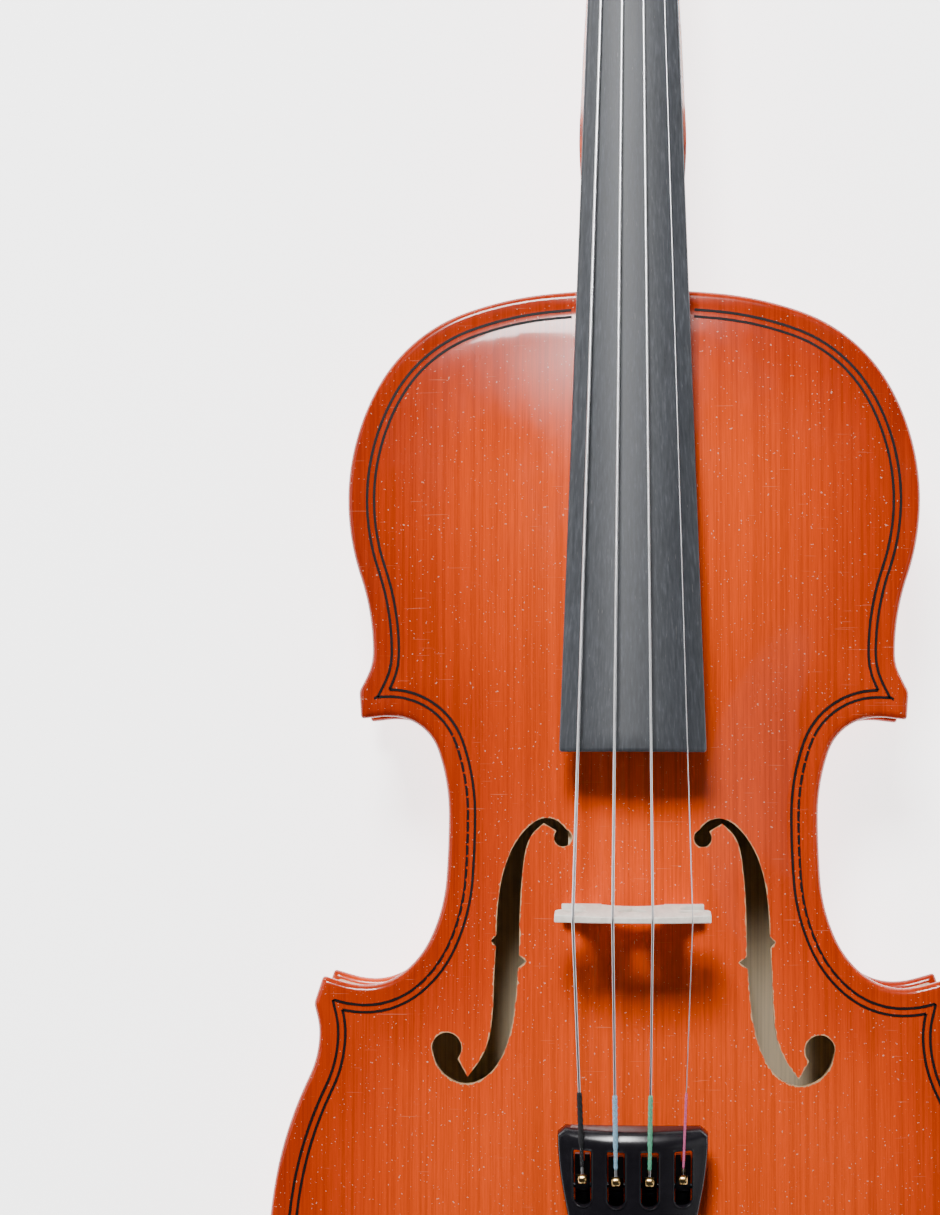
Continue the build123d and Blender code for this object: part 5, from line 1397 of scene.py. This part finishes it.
class VIOLIN_OT_purfling(PieceOperator, bpy.types.Operator):
    """Painted double lines round both plates"""
    bl_idname, bl_label = "violin.purfling", "Purfling"

    def build(self, context, look):
        width = context.scene.violin_sizes.purfling_width / MM
        for name, height, gap, slot in (("top_purfling", top_height, 17.4, "varnished_spruce"),
                                        ("back_purfling", back_height, 0, "varnished_maple")):
            belong(build_purfling(name, height, gap, width, look["painted"]), "root", [])


class VIOLIN_OT_fingerboard(PieceOperator, bpy.types.Operator):
    """Crowned fingerboard"""
    bl_idname, bl_label = "violin.fingerboard", "Fingerboard"

    def build(self, context, look):
        belong(build_fingerboard(look["board"]), "root", ["fingerboard"])


class VIOLIN_OT_neck(PieceOperator, bpy.types.Operator):
    """Neck, heel, pegbox and scroll"""
    bl_idname, bl_label = "violin.neck", "Neck and Scroll"

    def build(self, context, look):
        belong(build_neck(look["maple"]), "root", ["neck_and_scroll"])


class VIOLIN_OT_bridge(PieceOperator, bpy.types.Operator):
    """Carved bridge"""
    bl_idname, bl_label = "violin.bridge", "Bridge"

    def build(self, context, look):
        belong(build_bridge(look["bridge"]), "root", ["bridge"])


class VIOLIN_OT_tailpiece(PieceOperator, bpy.types.Operator):
    """Moulded tailpiece with windows for the tuners"""
    bl_idname, bl_label = "violin.tailpiece", "Tailpiece"

    def build(self, context, look):
        belong(build_tailpiece(look["plastic"]), "root", ["tailpiece"])


class VIOLIN_OT_end_button(PieceOperator, bpy.types.Operator):
    """Turned end button"""
    bl_idname, bl_label = "violin.end_button", "End Button"

    def build(self, context, look):
        belong(build_end_button(look["fittings"]), "root", ["end_button"])


class VIOLIN_OT_strings(PieceOperator, bpy.types.Operator):
    """Four strings and the coloured thread at their lower ends"""
    bl_idname, bl_label = "violin.strings", "Strings"

    def build(self, context, look):
        for name in STRING_RANK:
            colour = tuple(getattr(context.scene.violin_colours, f"silk_{name}"))
            thread = plain(f"silk_{name}", colour, 0.8, noise=0.35, scale=2500.0)
            belong(build_string(name, look["steel"]), "root", [f"string_{name}"])
            belong(build_silk(name, thread), "root", [])


class VIOLIN_OT_pegs(PieceOperator, bpy.types.Operator):
    """Four tuning pegs"""
    bl_idname, bl_label = "violin.pegs", "Pegs"

    def build(self, context, look):
        for name in STRING_RANK:
            belong(build_peg(name, look["fittings"]), f"peg_{name}", [f"peg_{name}"])


class VIOLIN_OT_tuners(PieceOperator, bpy.types.Operator):
    """Screws and ball ends of the four fine tuners"""
    bl_idname, bl_label = "violin.tuners", "Fine Tuners"

    def build(self, context, look):
        for name in STRING_RANK:
            screw, ball = build_screw(name, look["black_metal"]), build_ball(name, look["brass"])
            belong(screw, f"tuner_screw_{name}", [f"tuner_screw_{name}"])
            belong(ball, f"tuner_lever_{name}", [f"ball_end_{name}"])


class VIOLIN_OT_finishes(PieceOperator, bpy.types.Operator):
    """Finishes of the parts that are shown as they were constructed"""
    bl_idname, bl_label = "violin.finishes", "Finishes"

    def build(self, context, look):
        finish = {"rib": "maple", "neck": "maple", "nut": "board", "bridge": "bridge", "tailpiece": "plastic",
                  "saddle": "board", "end_button": "fittings", "tail_gut": "nylon",
                  "tuner_screw": "black_metal", "tuner_lever": "black_metal",
                  "tuner_axle": "black_metal", "ball_end": "brass", "peg": "fittings", "winding": "steel"}
        for name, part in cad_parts.items():
            key = next((use for start, use in finish.items() if name.startswith(start)), "raw")
            part.data.materials.clear()
            part.data.materials.append(look[key])
            part.data.set_sharp_from_angle(angle=math.radians(35))


class VIOLIN_OT_stage(PieceOperator, bpy.types.Operator):
    """Floor, lights, surroundings and camera"""
    bl_idname, bl_label = "violin.stage", "Stage"

    def build(self, context, look):
        build_stage(context.scene.violin_sizes.floor_size, context.scene.violin_sizes.key_power)


STEPS = (VIOLIN_OT_top_plate, VIOLIN_OT_back_plate, VIOLIN_OT_purfling, VIOLIN_OT_fingerboard, VIOLIN_OT_neck,
         VIOLIN_OT_bridge, VIOLIN_OT_tailpiece, VIOLIN_OT_end_button, VIOLIN_OT_strings, VIOLIN_OT_pegs,
         VIOLIN_OT_tuners, VIOLIN_OT_finishes, VIOLIN_OT_stage)


class VIOLIN_PT_panel(bpy.types.Panel):
    """Settings and steps of the violin"""
    bl_idname, bl_label = "VIOLIN_PT_panel", "Violin"
    bl_space_type, bl_region_type, bl_category = "VIEW_3D", "UI", "Violin"

    def draw(self, context):
        column = self.layout.column()
        for group in (context.scene.violin_sizes, context.scene.violin_colours):
            for name in group.__annotations__:
                column.prop(group, name)
        for step in STEPS:
            column.operator(step.bl_idname)


CLASSES = (ViolinSizes, ViolinColours, *STEPS, VIOLIN_PT_panel)


def register():
    """Adds the classes and the scene's settings."""
    for kind in CLASSES:
        bpy.utils.register_class(kind)
    bpy.types.Scene.violin_sizes = bpy.props.PointerProperty(type=ViolinSizes)
    bpy.types.Scene.violin_colours = bpy.props.PointerProperty(type=ViolinColours)


def unregister():
    """Takes the settings and the classes away again."""
    del bpy.types.Scene.violin_colours
    del bpy.types.Scene.violin_sizes
    for kind in reversed(CLASSES):
        bpy.utils.unregister_class(kind)


def main():
    """Registers the add-on and makes every piece in order."""
    register()
    for step in STEPS:
        getattr(bpy.ops.violin, step.bl_idname.split(".")[1])()


if __name__ == "__main__":
    main()
